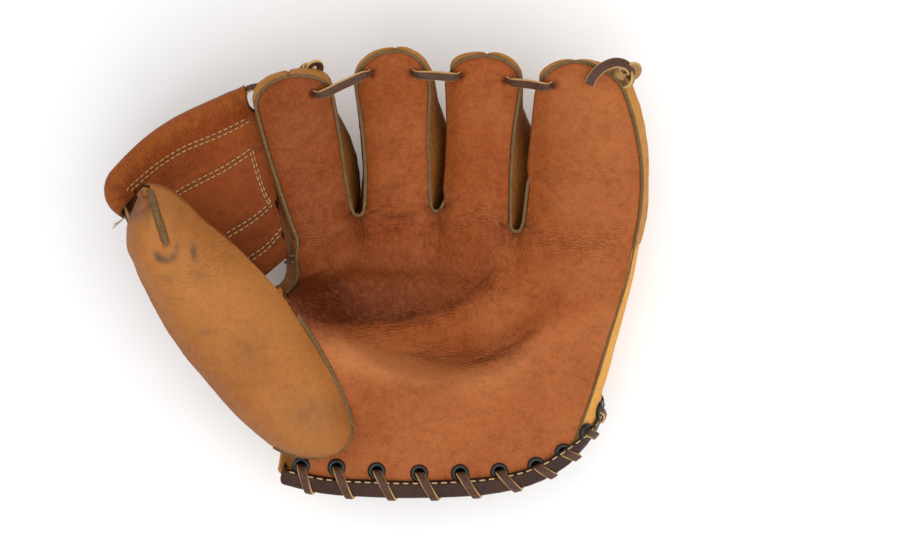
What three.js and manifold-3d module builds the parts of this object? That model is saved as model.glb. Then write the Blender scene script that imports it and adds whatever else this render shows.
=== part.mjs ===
// A leather fielding glove for the left hand, lying on its back with the pocket facing up.
// Millimetres: +X towards the little finger, +Y towards the fingertips, +Z out of the pocket.
// The origin is under the middle of the glove, on the plane that its back rests on.
import * as THREE from "three";
import { mergeVertices } from "three/addons/utils/BufferGeometryUtils.js";
import Module from "manifold-3d";

const wasm = await Module();
wasm.setup();

// Leather, welts, padding and clearances
const SHELL = 3; // shell leather with its backing
const LINING = 1.5;
const SEAM_GAP = 0.4; // clearance between neighbouring pieces
const WELT_RADIUS = 1.2;
const PAD_EDGE = 1.2; // felt thickness where the heel pad thins out
const PAD_SWELL = 9; // extra felt under the heel

// Four finger stalls, from the index finger to the little finger.
// Widths run between the seams; heights are those of the seam line above the rest plane.
const CROTCH_GAP = 3.6;
const FINGER_BACK_HEIGHT = 4.2; // height of the finger backs at their base
const FINGER_CROWN = 4;
const FINGER_BULGE = 2.6; // side leather standing out past the seam
const FINGER_CURL = 0.3; // how much of the rise comes towards the tip
const BASE_LEFT_X = -42;
const FINGER_NAMES = ["index", "middle", "ring", "little"];
const FINGER_SIZES = {
  base: [32.5, 34.5, 35, 50.8],
  middle: [35.4, 31, 29, 45],
  tip: [32.4, 43, 36.5, 30],
  round: [10, 19, 13, 12], // length of the rounded tip
  length: [67, 64, 66, 72],
  lean: [-10.7, 0, 3.7, -0.9], // degrees
  bow: [0, 0.7, 0, 4],
  top: [83, 79, 79, 87], // height of the seam at the tip
  depth: [27, 26, 26, 29], // of the back leather at the tip
};
const FINGERS = FINGER_NAMES.map((name, i) => {
  const sizes = Object.entries(FINGER_SIZES).map(([size, values]) => [size, values[i]]);
  return { name, ...Object.fromEntries(sizes) };
});
// Where the base line crosses the crotches: distance up the glove and height, from the thumb side.
const CROTCHES = [
  { y: 9.5, z: 52 },
  { y: 27, z: 46 },
  { y: 29, z: 44 },
  { y: 20, z: 48 },
  { y: 13, z: 58 },
];

// Thumb stall
const THUMB = {
  base: new THREE.Vector3(-17, -76.6, 0),
  length: 138,
  lean: -37,
  bow: -2.2,
  widths: [33.7, 49, 28],
  leftHeights: [53, 92],
  rightHeights: [58, 97],
  curl: 0.2,
  crown: 15,
  depths: [22, 20],
  tipRound: 17.5,
  baseRound: 20.5,
  bulge: 0.3,
};
const THUMB_SEAM_SHARE = 0.47; // share of the thumb's length sewn to the palm
const THUMB_MOUTH_SHARE = 0.52; // where the inner back of the thumb begins

// Heel and wrist
const HEEL_LEFT = new THREE.Vector3(-41, -87.5, 46);
const HEEL_RIGHT = new THREE.Vector3(86.5, -76.5, 45.5);
const HEEL_EDGE = [
  HEEL_LEFT,
  new THREE.Vector3(-21.8, -91.4, 47),
  new THREE.Vector3(17.7, -93.6, 48),
  new THREE.Vector3(52.8, -90.1, 48),
  HEEL_RIGHT,
];
const LITTLE_EDGE = [
  new THREE.Vector3(91.6, -56, 47),
  new THREE.Vector3(101.2, -24, 51),
  new THREE.Vector3(107.1, -4, 55),
];
const HEEL_SWELL = 15; // rise of the padded heel over its edges
// Ridge of the heel roll: it bends up towards both sides, and is steeper on the side of the pocket.
const HEEL_RIDGE = { x: 24, y: -48.5, bend: 0.0104, front: 10, back: 24, reach: 44 };
const POCKET_DEPTH = 17;
const POCKET = { x: -3, y: -9, rx: 42, ry: 34 };
const SIDE_REACH = 32; // how far the side leather turns in under the glove
const SIDE_BULGE = 0.5;
const WRIST_SLOPE = 34; // the wrist edge climbs this far from the heel to the back
const WRIST_HEIGHT = 9; // height of the back leather at the wrist
const BACK = { left: -37, wrist: -38, knuckle: 26, flatFrom: -16, rise: 7, knuckleGap: 3 };
const EAR = { left: -44, right: -21, topLeft: -46, topRight: -38.4, height: 7.9 };
// Course of the ear between the back and the heel corner: distance up the glove and height.
const EAR_COURSE = [
  [-50, EAR.height],
  [-66, EAR.height],
  [-78, 15],
  [-84.5, 29],
];
// Leather between the thumb and the hand back: stretch of the thumb's back that it joins.
const THUMB_SIDE = { from: 0.2, to: 0.545, wrist: -36, front: -16, gap: 0.8, bulge: 4 };

// Heel lacing
const EYELETS_ON_PALM = 8;
const EYELETS_ON_SIDE = 2;
const EYELET_INSET = 6.2; // from the leather edge to the eyelet's centre
const EYELET_BORE = 2.5;
const EYELET_WALL = 0.5;
const EYELET_FLANGE = 3.9;
const EYELET_RIM = 0.8; // flange thickness
const EYELET_SEAT = 1.5; // height of the flange over the curved leather
const BINDING = { leg: 1.6, thickness: 0.9, clearance: 0.6 };
const LACE = { width: 3.8, thickness: 1.2 };
const LACE_SECTIONS_PER_LOOP = 18;

// Finger lace
const FINGER_LACE_SHARE = 0.88; // how far up the fingers it runs
const FINGER_LACE_SIDE = 0.62; // where its holes sit across a finger
const LACE_HOLE = 2.6;
const LACE_LIFT = 2.2; // above the leather at a hole
const LACE_SINK = 4.6; // below the leather inside a stall
const KNOT = { radius: 4.6, share: 0.9, tailSide: 0.3 };

// Web
const WEB = { sheet: 4, rollRadius: 7, rollBore: 3.6, flap: 3.2, standOff: 1.4, arch: 4 };
const WEB_TURNS = { outer: [-73, 235], inner: [228, -124] }; // degrees round the roll
const WEB_TOP_LEFT = new THREE.Vector3(-117, 40, 60);
const WEB_BOTTOM_LEFT = new THREE.Vector3(-66, -12, 40);
const WEB_TOP_RIGHT_DROP = 17; // below the index seam at the top
const WEB_BOTTOM_RIGHT_DROP = 10;
const WEB_INDEX_SHARES = [0.06, 0.92]; // stretch of the index finger that carries the web

const WEB_LACE = { radius: 1.6, hole: 2.5, reach: 5, turn: 5, thumbShare: 0.86, thumbAngle: 2.2 };

// Wrist strap with its snap fastener
const STRAP = { width: 24, thickness: 2.4, height: 4.4, rootHeight: 7.2 };
const STRAP_LINE = [
  [84, -46],
  [58, -57],
  [20, -62],
  [-18, -61],
  [-38, -59],
];
const SNAP = { cap: 6.5, capHeight: 1.7, post: 1.9, flange: 4.5, rim: 0.9, inset: 9 };

const LEATHER_COLOUR = 0xa85a24;
const TAN_COLOUR = 0xb87330;
const WELT_COLOUR = 0x6b5a42;
const LACE_COLOUR = 0x4a3630;
const BINDING_COLOUR = 0x453632;
const FELT_COLOUR = 0xd8cdb8;
const EYELET_COLOUR = 0x1c1c1e;
const LINING_COLOUR = 0xc08a50;

// From the drawing's frame, whose zero is under the pocket, to the middle of the glove.
const CENTRING = new THREE.Vector3(0.39, -0.62, 0);

const { sin, cos, sqrt, abs, PI, min, max, sign } = Math;
const UP = new THREE.Vector3(0, 0, 1);
const point = (x, y, z) => new THREE.Vector3(x, y, z);
const radians = THREE.MathUtils.degToRad;
const mix = THREE.MathUtils.lerp;
const between = (a, b, t) => a.clone().lerp(b, t);
const steps = (from, to, count) =>
  Array.from({ length: count + 1 }, (_, i) => mix(from, to, i / count));
const bell = (x) => Math.exp(-x * x);
const smooth = (x, from, to) => THREE.MathUtils.smoothstep(x, from, to);
const spline = (points) => new THREE.CatmullRomCurve3(points, false, "centripetal");

// Geometry helpers

// Signed volume of an indexed triangle list.
function volumeOf(vertices, triangles) {
  let total = 0;
  for (let i = 0; i < triangles.length; i += 3) {
    const [a, b, c] = [0, 1, 2].map((k) => vertices[triangles[i + k]]);
    total += a.dot(b.clone().cross(c)) / 6;
  }
  return total;
}

function geometryOf(vertices, triangles) {
  if (volumeOf(vertices, triangles) < 0) triangles.reverse();
  const geometry = new THREE.BufferGeometry();
  const numbers = vertices.flatMap((v) => v.toArray());
  geometry.setAttribute("position", new THREE.Float32BufferAttribute(numbers, 3));
  geometry.setIndex(triangles);
  return geometry;
}

// A closed solid between two surfaces over the same grid of rows and columns.
function slab(rows, columns, upper, lower) {
  const n = columns.length;
  const size = rows.length * n;
  const grid = (face) => rows.flatMap((r) => columns.map((c) => face(r, c)));
  const vertices = [...grid(upper), ...grid(lower)];
  const triangles = [];
  const quad = (a, b, c, d) => triangles.push(a, b, c, a, c, d);
  for (let i = 0; i + 1 < rows.length; i++)
    for (let j = 0; j + 1 < n; j++) {
      const a = i * n + j;
      quad(a, a + 1, a + n + 1, a + n);
      quad(size + a, size + a + n, size + a + n + 1, size + a + 1);
    }
  for (let i = 0; i + 1 < rows.length; i++) {
    const a = i * n;
    const b = a + n - 1;
    quad(a + n, size + a + n, size + a, a);
    quad(b, size + b, size + b + n, b + n);
  }
  for (let j = 0; j + 1 < n; j++) {
    const b = (rows.length - 1) * n + j;
    quad(j, size + j, size + j + 1, j + 1);
    quad(b + 1, size + b + 1, size + b, b);
  }
  return geometryOf(vertices, triangles);
}

// Unit normal of a surface, on the side that faces the given direction.
function normalOf(surface, r, c, facing) {
  const step = 1e-3;
  const alongRow = surface(r + step, c).sub(surface(r - step, c));
  const alongColumn = surface(r, c + step).sub(surface(r, c - step));
  const normal = alongRow.cross(alongColumn).normalize();
  return normal.dot(facing(r, c)) < 0 ? normal.negate() : normal;
}

// The same surface moved along its normal.
const shifted = (surface, facing, distance) => (r, c) =>
  surface(r, c).addScaledVector(normalOf(surface, r, c, facing), distance);

// A sheet of leather: the surface is its outer face.
const sheet = (rows, columns, surface, facing, thickness) =>
  slab(rows, columns, surface, shifted(surface, facing, -thickness));

// A closed tube of flat section along points, with the direction of its thickness at each point.
function ribbon(points, thicknessAt, width, thickness, sides) {
  const rings = points.map((p, i) => {
    const ahead = points[min(i + 1, points.length - 1)];
    const tangent = ahead.clone().sub(points[max(i - 1, 0)]).normalize();
    const across = tangent.clone().cross(thicknessAt(i)).normalize();
    const out = across.clone().cross(tangent).normalize();
    return steps(0, 2 * PI, sides)
      .slice(0, sides)
      .map((a) => {
        const half = a + PI / sides;
        const p2 = p.clone().addScaledVector(across, (cos(half) / cos(PI / sides)) * (width / 2));
        return p2.addScaledVector(out, (sin(half) / cos(PI / sides)) * (thickness / 2));
      });
  });
  return skinned(rings);
}

// A closed solid over rings of equal count, with flat ends.
function skinned(rings) {
  const n = rings[0].length;
  const vertices = rings.flat();
  const triangles = [];
  for (let i = 0; i + 1 < rings.length; i++)
    for (let j = 0; j < n; j++) {
      const a = i * n + j;
      const b = i * n + ((j + 1) % n);
      triangles.push(a, b, b + n, a, b + n, a + n);
    }
  const ends = [rings[0], rings[rings.length - 1]];
  const flat = (ring) => {
    const across = ring[1].clone().sub(ring[0]).normalize();
    const normal = across.clone().cross(ring[2].clone().sub(ring[0])).normalize();
    const up = normal.cross(across);
    return ring.map((p) => new THREE.Vector2(p.dot(across), p.dot(up)));
  };
  ends.forEach((ring, side) => {
    const start = side ? (rings.length - 1) * n : 0;
    const outline = flat(ring);
    const turned = THREE.ShapeUtils.isClockWise(outline);
    THREE.ShapeUtils.triangulateShape(outline, []).forEach(([a, b, c]) => {
      const forwards = turned === Boolean(side);
      triangles.push(start + a, start + (forwards ? c : b), start + (forwards ? b : c));
    });
  });
  return geometryOf(vertices, consistent(triangles));
}

// Turns each triangle so that neighbours agree.
function consistent(triangles) {
  const count = triangles.length / 3;
  const owners = new Map();
  const key = (a, b) => (a < b ? a + "_" + b : b + "_" + a);
  for (let t = 0; t < count; t++)
    for (let k = 0; k < 3; k++) {
      const edge = key(triangles[3 * t + k], triangles[3 * t + ((k + 1) % 3)]);
      owners.set(edge, [...(owners.get(edge) ?? []), t]);
    }
  const done = new Array(count).fill(false);
  const queue = [0];
  done[0] = true;
  while (queue.length) {
    const t = queue.pop();
    for (let k = 0; k < 3; k++) {
      const a = triangles[3 * t + k];
      const b = triangles[3 * t + ((k + 1) % 3)];
      for (const other of owners.get(key(a, b))) {
        if (done[other]) continue;
        const ids = triangles.slice(3 * other, 3 * other + 3);
        if (ids[(ids.indexOf(a) + 1) % 3] === b)
          [triangles[3 * other + 1], triangles[3 * other + 2]] = [ids[2], ids[1]];
        done[other] = true;
        queue.push(other);
      }
    }
  }
  return triangles;
}

function solidOf(geometry) {
  const bare = geometry.clone();
  bare.deleteAttribute("normal");
  bare.deleteAttribute("uv");
  const merged = mergeVertices(bare, 1e-4);
  return new wasm.Manifold(
    new wasm.Mesh({
      numProp: 3,
      vertProperties: merged.attributes.position.array,
      triVerts: new Uint32Array(merged.index.array),
    }),
  );
}

function cut(geometry, cutters) {
  const left = cutters.reduce((solid, cutter) => solid.subtract(solidOf(cutter)), solidOf(geometry));
  const mesh = left.getMesh();
  const made = new THREE.BufferGeometry();
  made.setAttribute("position", new THREE.Float32BufferAttribute(mesh.vertProperties, 3));
  made.setIndex(Array.from(mesh.triVerts));
  return made;
}

// A cylinder across a sheet, for a hole.
function drill(centre, direction, radius, length, sides = 10) {
  const turn = new THREE.Quaternion().setFromUnitVectors(point(0, 1, 0), direction);
  const cylinder = new THREE.CylinderGeometry(radius, radius, length, sides);
  return cylinder.applyQuaternion(turn).translate(...centre.toArray());
}

// A round tube along points.
function tube(points, radius, sides, count) {
  const section = new THREE.Shape(
    steps(0, 2 * PI, sides)
      .slice(0, sides)
      .map((a) => new THREE.Vector2(radius * cos(a), radius * sin(a))),
  );
  const options = { steps: count, bevelEnabled: false, extrudePath: spline(points) };
  return new THREE.ExtrudeGeometry(section, options);
}

// Stalls: a front panel and two back panels that meet at a welted seam

function makeStall(spec) {
  const lean = radians(spec.lean);
  const along = point(sin(lean), cos(lean), 0);
  const across = point(cos(lean), -sin(lean), 0);
  const tipFrom = 1 - spec.tipRound / spec.length;
  const baseTo = spec.baseRound / spec.length;
  const rounding = (s) => {
    if (s > tipFrom) return sqrt(max(0, 1 - ((s - tipFrom) / (1 - tipFrom)) ** 2));
    if (baseTo && s < baseTo) return sqrt(max(0, 1 - ((baseTo - s) / baseTo) ** 2));
    return 1;
  };
  const [w0, w1, w2] = spec.widths.map((w) => w / 2);
  const width = (s) => w0 * (1 - s) * (1 - 2 * s) + w1 * 4 * s * (1 - s) + w2 * s * (2 * s - 1);
  const half = (s) => rounding(s) * width(s);
  const depth = (s) => rounding(s) * mix(spec.depths[0], spec.depths[1], s);
  const crown = (s) => rounding(s) * spec.crown;
  const rise = (heights, s) => mix(heights[0], heights[1], s * (1 - spec.curl + spec.curl * s));
  const edge = (s, side, heights) => {
    const p = spec.base.clone().addScaledVector(along, spec.length * s + side * spec.slant * (1 - s));
    p.addScaledVector(across, side * half(s) + spec.bow * 4 * s * (1 - s));
    p.z = rise(heights, s);
    return p;
  };
  const left = (s) => edge(s, -1, spec.leftHeights);
  const right = (s) => edge(s, 1, spec.rightHeights);
  const middle = (s) => left(s).lerp(right(s), 0.5);
  const lateral = (s) => {
    const tilt = rise(spec.rightHeights, s) - rise(spec.leftHeights, s);
    return across.clone().multiplyScalar(w0 + w1).addScaledVector(UP, tilt).normalize();
  };
  const normal = (s) => {
    const step = 1e-3;
    const height = (at) => (rise(spec.leftHeights, at) + rise(spec.rightHeights, at)) / 2;
    const slope = (height(s + step) - height(s - step)) / (2 * step * spec.length);
    const forward = along.clone().addScaledVector(UP, slope);
    return lateral(s).cross(forward).normalize();
  };
  // Front leather: v runs from -1 at the left seam to 1 at the right seam, held back by the reach.
  const front = (s, v, reach = 1) =>
    middle(s)
      .addScaledVector(right(s).sub(left(s)).multiplyScalar(0.5), v * reach)
      .addScaledVector(normal(s), crown(s) * (1 - abs(v) ** 3));
  // Back leather: angle 0 is the right seam, a half turn is the left seam.
  const back = (s, angle) => {
    const reach = 1 + (rounding(s) * spec.bulge * sin(2 * min(angle, PI - angle))) / max(half(s), 0.1);
    const sideways = sign(cos(angle)) * abs(cos(angle)) ** 0.7 * reach;
    return middle(s)
      .addScaledVector(right(s).sub(left(s)), sideways / 2)
      .addScaledVector(normal(s), -depth(s) * sin(angle) ** 0.9);
  };
  const outward = (s, angle) => back(s, angle).sub(middle(s).addScaledVector(normal(s), -depth(s) / 2));
  const shape = { rounding, half, depth, left, right, middle, normal, front, back, outward };
  return { ...spec, ...shape, along, across, tipFrom, baseTo };
}

// Lengthwise stations, closer together round the tip.
function stations(stall, from, straight, round) {
  const rounded = () => steps(0.45, 1, 3).map((t) => stall.baseTo * (1 - cos((t * PI) / 2)));
  const start = stall.baseTo > from ? rounded() : [from];
  const tip = steps(0.25, 0.9, round).map((t) => mix(stall.tipFrom, 1, sin((t * PI) / 2)));
  return [...start, ...steps(start[start.length - 1], stall.tipFrom, straight).slice(1), ...tip];
}

const SEAM_INSET = WELT_RADIUS + SEAM_GAP;
const towardsFront = (stall) => (s) => stall.normal(s);

// Front panel of a stall, held clear of the welt.
function stallFront(stall, rows, columns) {
  const pull = 1 - (2 * SEAM_INSET) / stall.length;
  const surface = (s, v) => {
    const t = s * pull;
    const inset = SEAM_INSET * (2.2 - 1.1 * stall.rounding(t));
    const reach = max(0.3, 1 - inset / max(stall.half(t), 0.1));
    return stall.front(t, v, reach);
  };
  return { surface, geometry: sheet(rows, columns, surface, towardsFront(stall), SHELL) };
}

// One half of a stall's back: side 1 is the right half, -1 the left half.
function stallBack(stall, side, rows, count) {
  const surface = (s, t) => {
    const first = Math.asin(min(0.9, (SEAM_INSET + 1) / stall.depth(s)) ** (1 / 0.9));
    const last = PI / 2 - (SEAM_GAP / 2) / stall.half(s);
    const angle = mix(first, last, t);
    return stall.back(s, side > 0 ? angle : PI - angle);
  };
  const facing = (s) => stall.outward(s, side > 0 ? 0.8 : PI - 0.8);
  return sheet(rows, steps(0, 1, count), surface, facing, SHELL);
}

const weltOf = (points, count) => tube(points, WELT_RADIUS, 6, count);

// Palm

const corners = CROTCHES.map(({ y, z }, i) => {
  const before = FINGERS.slice(0, i).reduce((sum, f) => sum + f.base, 0);
  return point(BASE_LEFT_X + before, y, z);
});

const fingers = FINGERS.map((finger, i) => {
  const span = corners[i + 1].clone().sub(corners[i]);
  const lean = radians(finger.lean);
  const middle = between(corners[i], corners[i + 1], 0.5);
  const width = span.x * cos(lean) - span.y * sin(lean);
  const narrowed = 1 - CROTCH_GAP / width;
  return makeStall({
    ...finger,
    base: middle.clone().setZ(0),
    slant: ((span.x * sin(lean) + span.y * cos(lean)) * narrowed) / 2,
    widths: [width * narrowed, finger.middle, finger.tip],
    leftHeights: [corners[i].z, finger.top],
    rightHeights: [corners[i + 1].z, finger.top],
    curl: FINGER_CURL,
    crown: FINGER_CROWN,
    depths: [middle.z - FINGER_BACK_HEIGHT, finger.depth],
    tipRound: finger.round,
    baseRound: 0,
    bulge: FINGER_BULGE,
  });
});

const thumb = makeStall({ ...THUMB, slant: 0 });

const heelCurve = spline(HEEL_EDGE);
const littleCurve = spline([HEEL_RIGHT, ...LITTLE_EDGE, corners[4]]);
// A point beside the thumb's inner seam, square to it, where the palm begins.
function besideThumb(s) {
  const run = thumb.right(s + 0.004).sub(thumb.right(s - 0.004));
  return thumb.right(s).addScaledVector(point(run.y, -run.x, 0).normalize(), SEAM_INSET + 0.3);
}
const seamHeight = (s) =>
  besideThumb(s).setZ(mix(50, thumb.right(s).z - 0.5, smooth(s, 0, 0.12)));
const PALM_SEAM_SHARES = [0.014, 0.045, 0.1, 0.2, 0.33, THUMB_SEAM_SHARE];
const thumbCurve = spline([
  HEEL_LEFT,
  ...PALM_SEAM_SHARES.map((s) => seamHeight(s)),
  between(thumb.right(THUMB_SEAM_SHARE).setZ(46), corners[0], 0.5).add(point(2, 0, -3)),
  corners[0],
]);

// Line of the finger bases along the upper edge of the palm, and its crown under each finger.
function fingerPlace(u) {
  const place = min(u, 0.9999) * FINGERS.length;
  const i = max(0, Math.floor(place));
  return { i, t: place - i };
}
function fingerLine(u) {
  const { i, t } = fingerPlace(u);
  return between(corners[i], corners[i + 1], t).addScaledVector(fingers[i].along, -2 * SEAM_GAP);
}
function fingerCrown(u) {
  const { i, t } = fingerPlace(u);
  return fingers[i].normal(0).multiplyScalar(FINGER_CROWN * (1 - abs(2 * t - 1) ** 3));
}

// How much of the heel roll there is at a place.
function heelRoll({ x, y }) {
  const ahead = y - HEEL_RIDGE.y - HEEL_RIDGE.bend * (x - HEEL_RIDGE.x) ** 2;
  const steepness = ahead > 0 ? HEEL_RIDGE.front : HEEL_RIDGE.back;
  return bell(ahead / steepness) * bell((x - HEEL_RIDGE.x) / HEEL_RIDGE.reach);
}

// Palm leather: u runs from the thumb side to the little finger side, v from the heel to the fingers.
function palm(u, v) {
  const heel = heelCurve.getPointAt(u);
  const top = fingerLine(u);
  const thumbSide = thumbCurve.getPointAt(v);
  const littleEdge = littleCurve.getPointAt(v);
  const p = heel.clone().multiplyScalar(1 - v).addScaledVector(top, v);
  p.addScaledVector(thumbSide, 1 - u).addScaledVector(littleEdge, u);
  p.addScaledVector(HEEL_LEFT, -(1 - u) * (1 - v)).addScaledVector(HEEL_RIGHT, -u * (1 - v));
  p.addScaledVector(corners[0], -(1 - u) * v).addScaledVector(corners[4], -u * v);
  const insideAcross = smooth(u, 0, 0.18) * smooth(1 - u, 0, 0.2);
  const inside = insideAcross * smooth(v, 0.04, 0.2) * smooth(1 - v, 0, 0.25);
  const pocket = bell(Math.hypot((p.x - POCKET.x) / POCKET.rx, (p.y - POCKET.y) / POCKET.ry));
  p.z += inside * (HEEL_SWELL * heelRoll(p) - POCKET_DEPTH * pocket);
  return p.addScaledVector(fingerCrown(u), smooth(v, 0.72, 1));
}

const clampedPalm = (u, v) => palm(min(max(u, 0), 1), min(max(v, 0), 1));
const insideEdge = (x) => min(max(x, 0.01), 0.99);
const palmNormal = (u, v) => normalOf(clampedPalm, insideEdge(u), insideEdge(v), () => UP);
const palmBelow = (drop) => (u, v) => clampedPalm(u, v).addScaledVector(UP, -drop(u, v));

// Felt under the heel: thick in the heel roll, thin towards its edges.
const padSides = (u) => smooth(u, 0.05, 0.3) * smooth(1 - u, 0.05, 0.3);
const padEnds = (v) => smooth(v, 0.1, 0.25) * smooth(1 - v, 0.35, 0.5);
const padThickness = (u, v) =>
  PAD_EDGE + PAD_SWELL * heelRoll(clampedPalm(u, v)) * padSides(u) * padEnds(v);

// How far the base of a finger leans forward for each millimetre down.
const baseTilt = (finger) => -finger.normal(0).y / finger.normal(0).z;

// Welt between the palm and the side leather.
const SIDE_CORNER = 2.5; // the corner beside the heel is cut back
const SIDE_OFFSET = SHELL + 2 * (WELT_RADIUS + SEAM_GAP);
const sideWelt = (v) => littleCurve.getPointAt(v).add(point(SEAM_INSET, 0, -SEAM_INSET / 2));

// Side leather, round to the back: v as on the palm, t from the seam to the back.
function littleSide(v, t) {
  const seam = littleCurve.getPointAt(min(max(v, 0), 1));
  const floor = mix(WRIST_HEIGHT, 1, smooth(v, 0, 0.8));
  const drop = seam.z - floor;
  const angle = mix(SEAM_INSET / drop, PI / 2, t);
  const reach = SIDE_REACH + SIDE_BULGE * sin(2 * angle);
  const p = seam.clone();
  p.x += SIDE_OFFSET + reach * max(cos(angle), 0) ** 0.6 - SIDE_REACH;
  p.z -= drop * sin(angle);
  p.y += WRIST_SLOPE * (1 - v) * (1 - cos(angle)) - SEAM_INSET * v;
  p.y += smooth(v, 0.3, 1) * baseTilt(fingers[3]) * drop * sin(angle);
  return p;
}
const cutBack = (v, t) => point(0, SIDE_CORNER * (1 - v) * bell(t / 0.08), 0);
const littlePanel = (v, t) => littleSide(v, t).add(cutBack(v, t));
const sideMiddle = (v) => littleCurve.getPointAt(v).add(point(-SIDE_REACH, 0, -20));
const littleSideOut = (v, t) => littleSide(v, t).sub(sideMiddle(v));

// Gusset between the thumb and the index finger, from the palm's edge down to the back.
const GUSSET_FROM = 0.7;
const BACK_LAP = SHELL + 3 * SEAM_GAP;
function gusset(v, t) {
  const seam = thumbCurve.getPointAt(min(max(mix(GUSSET_FROM, 1, v), 0), 1));
  seam.x -= SHELL + SEAM_GAP;
  const drop = seam.z - BACK_LAP;
  const angle = mix((2 * SEAM_INSET) / drop, PI / 2, t);
  seam.x += 16 - (16 + 3 * sin(2 * angle)) * max(cos(angle), 0) ** 0.6;
  seam.z -= drop * sin(angle);
  seam.y -= 2 * SEAM_INSET * v;
  return seam;
}

// Right edge of the hand back, beside the turned-in edge of the side leather.
function backRight(y) {
  const edge = steps(0, 1, 12).map((v) => littleSide(v, 1));
  const above = edge.findIndex((p) => p.y > y);
  const i = above < 0 ? edge.length - 1 : max(1, above);
  const [a, b] = [edge[i - 1], edge[i]];
  return mix(a.x, b.x, (y - a.y) / (b.y - a.y)) - 3 * SEAM_GAP;
}

// Knuckle line: where the finger backs begin.
function knuckleLine(x) {
  const i = min(max(1, corners.findIndex((c) => c.x > x)), corners.length - 1);
  const [a, b] = [corners[i - 1], corners[i]];
  const height = mix(a.z, b.z, (x - a.x) / (b.x - a.x)) - FINGER_BACK_HEIGHT;
  const base = mix(a.y, b.y, (x - a.x) / (b.x - a.x));
  return base + baseTilt(fingers[i - 1]) * height - BACK.knuckleGap;
}

// Back of the hand: flat where the glove rests, turning up to the wrist.
function handBack(share, r) {
  const x0 = mix(BACK.left, backRight(mix(BACK.wrist, BACK.knuckle, r)), share);
  const y = mix(BACK.wrist, knuckleLine(x0), r);
  const towardsWrist = max(0, (BACK.flatFrom - y) / (BACK.flatFrom - BACK.wrist));
  return point(x0, y, BACK.rise * towardsWrist ** 2);
}

// Thumb side leather: its upper edge follows the free edges of the thumb's back, and its foot follows the
// edge of the hand back and the edge of the gusset.
const thumbSideTop = spline([
  ...steps(THUMB_SIDE.from, THUMB_SIDE.to, 4).map((s) =>
    thumb
      .back(s, PI / 2)
      .addScaledVector(thumb.across, THUMB_SIDE.gap)
      .addScaledVector(thumb.normal(s), SHELL / 2),
  ),
  ...[1.1, 0.7, 0.4].map((angle) => thumb.back(THUMB_SIDE.to, angle)),
]);
const thumbSideFoot = spline([
  ...steps(THUMB_SIDE.wrist, THUMB_SIDE.front, 3).map((y) => {
    const r = (y - BACK.wrist) / (knuckleLine(BACK.left) - BACK.wrist);
    return handBack(0, r).add(point(-SHELL - THUMB_SIDE.gap, 0, SEAM_GAP));
  }),
  ...[0.55, 0.4, 0.2, 0.05].map((t) => gusset(0, t).add(point(0, -2 * THUMB_SIDE.gap, 0))),
]);
function thumbSide(r, t) {
  const foot = thumbSideFoot.getPoint(min(max(r, 0), 1));
  const top = thumbSideTop.getPoint(min(max(r, 0), 1));
  return between(foot, top, t).add(point(-THUMB_SIDE.bulge * sin(PI * t) * (1 - r), 0, 0));
}
const thumbSideOut = (r) => point(-1, 0.9 * smooth(r, 0.4, 0.8), -0.2);

// Ear that carries the snap: from the wrist edge of the back, under the thumb, up to the heel corner.
const earLine = spline([
  point(0, BACK.wrist - 2 * SEAM_GAP, EAR.height),
  ...EAR_COURSE.map(([y, z]) => point(0, y, z)),
  point(0, HEEL_LEFT.y + 1, HEEL_LEFT.z - SHELL - 2 * SEAM_GAP),
]);
function ear(t, share) {
  const narrowing = smooth(t, 0.4, 0.9);
  const left = mix(EAR.left, EAR.topLeft, narrowing);
  const right = mix(EAR.right, EAR.topRight, narrowing);
  return earLine.getPoint(min(max(t, 0), 1)).add(point(mix(left, right, share), 0, 0));
}

// Heel lacing

// Frames along the wrist edge: middle of the leather edge, direction into the leather, outer normal.
function edgeFrame(edge, at, into, normal) {
  const along = edge(at + 0.01).sub(edge(at - 0.01)).normalize();
  const inward = normal.clone().cross(along).normalize();
  if (inward.dot(into.clone().sub(edge(at))) < 0) inward.negate();
  return { at: edge(at).addScaledVector(normal, -SHELL / 2), inward, normal };
}
const palmFrame = (u) =>
  edgeFrame((a) => clampedPalm(a, 0), u, palm(u, 0.05), palmNormal(u, 0.03));
function sideFrame(t) {
  const normal = normalOf(littleSide, 0.02, t, littleSideOut);
  return edgeFrame((a) => littleSide(0, a), t, littleSide(0.05, t), normal);
}
const PALM_FRAMES = 20;
const SIDE_FRAMES = 7;
const blendFrames = (a, b, t) => ({
  at: between(a.at, b.at, t),
  inward: between(a.inward, b.inward, t).normalize(),
  normal: between(a.normal, b.normal, t).normalize(),
});
const palmFrames = steps(0.045, 0.993, PALM_FRAMES - 1).map(palmFrame);
const sideFrames = steps(0.04, 0.62, SIDE_FRAMES - 1).map(sideFrame);
const cornerFrame = blendFrames(palmFrames[PALM_FRAMES - 1], sideFrames[0], 0.5);
const frames = [...palmFrames, cornerFrame, ...sideFrames];
// The frame at any place along the edge, counted in frames.
function frameAt(place) {
  const i = min(max(0, Math.floor(place)), frames.length - 2);
  return blendFrames(frames[i], frames[i + 1], place - i);
}
const eyeletPlaces = [
  ...steps(0.35, PALM_FRAMES - 1.6, EYELETS_ON_PALM - 1),
  ...steps(PALM_FRAMES + 3.7, PALM_FRAMES + 5.8, EYELETS_ON_SIDE - 1),
];
const eyeletFrames = eyeletPlaces.map(frameAt);
const eyeletCentre = ({ at, inward }) => at.clone().addScaledVector(inward, EYELET_INSET);

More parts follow.
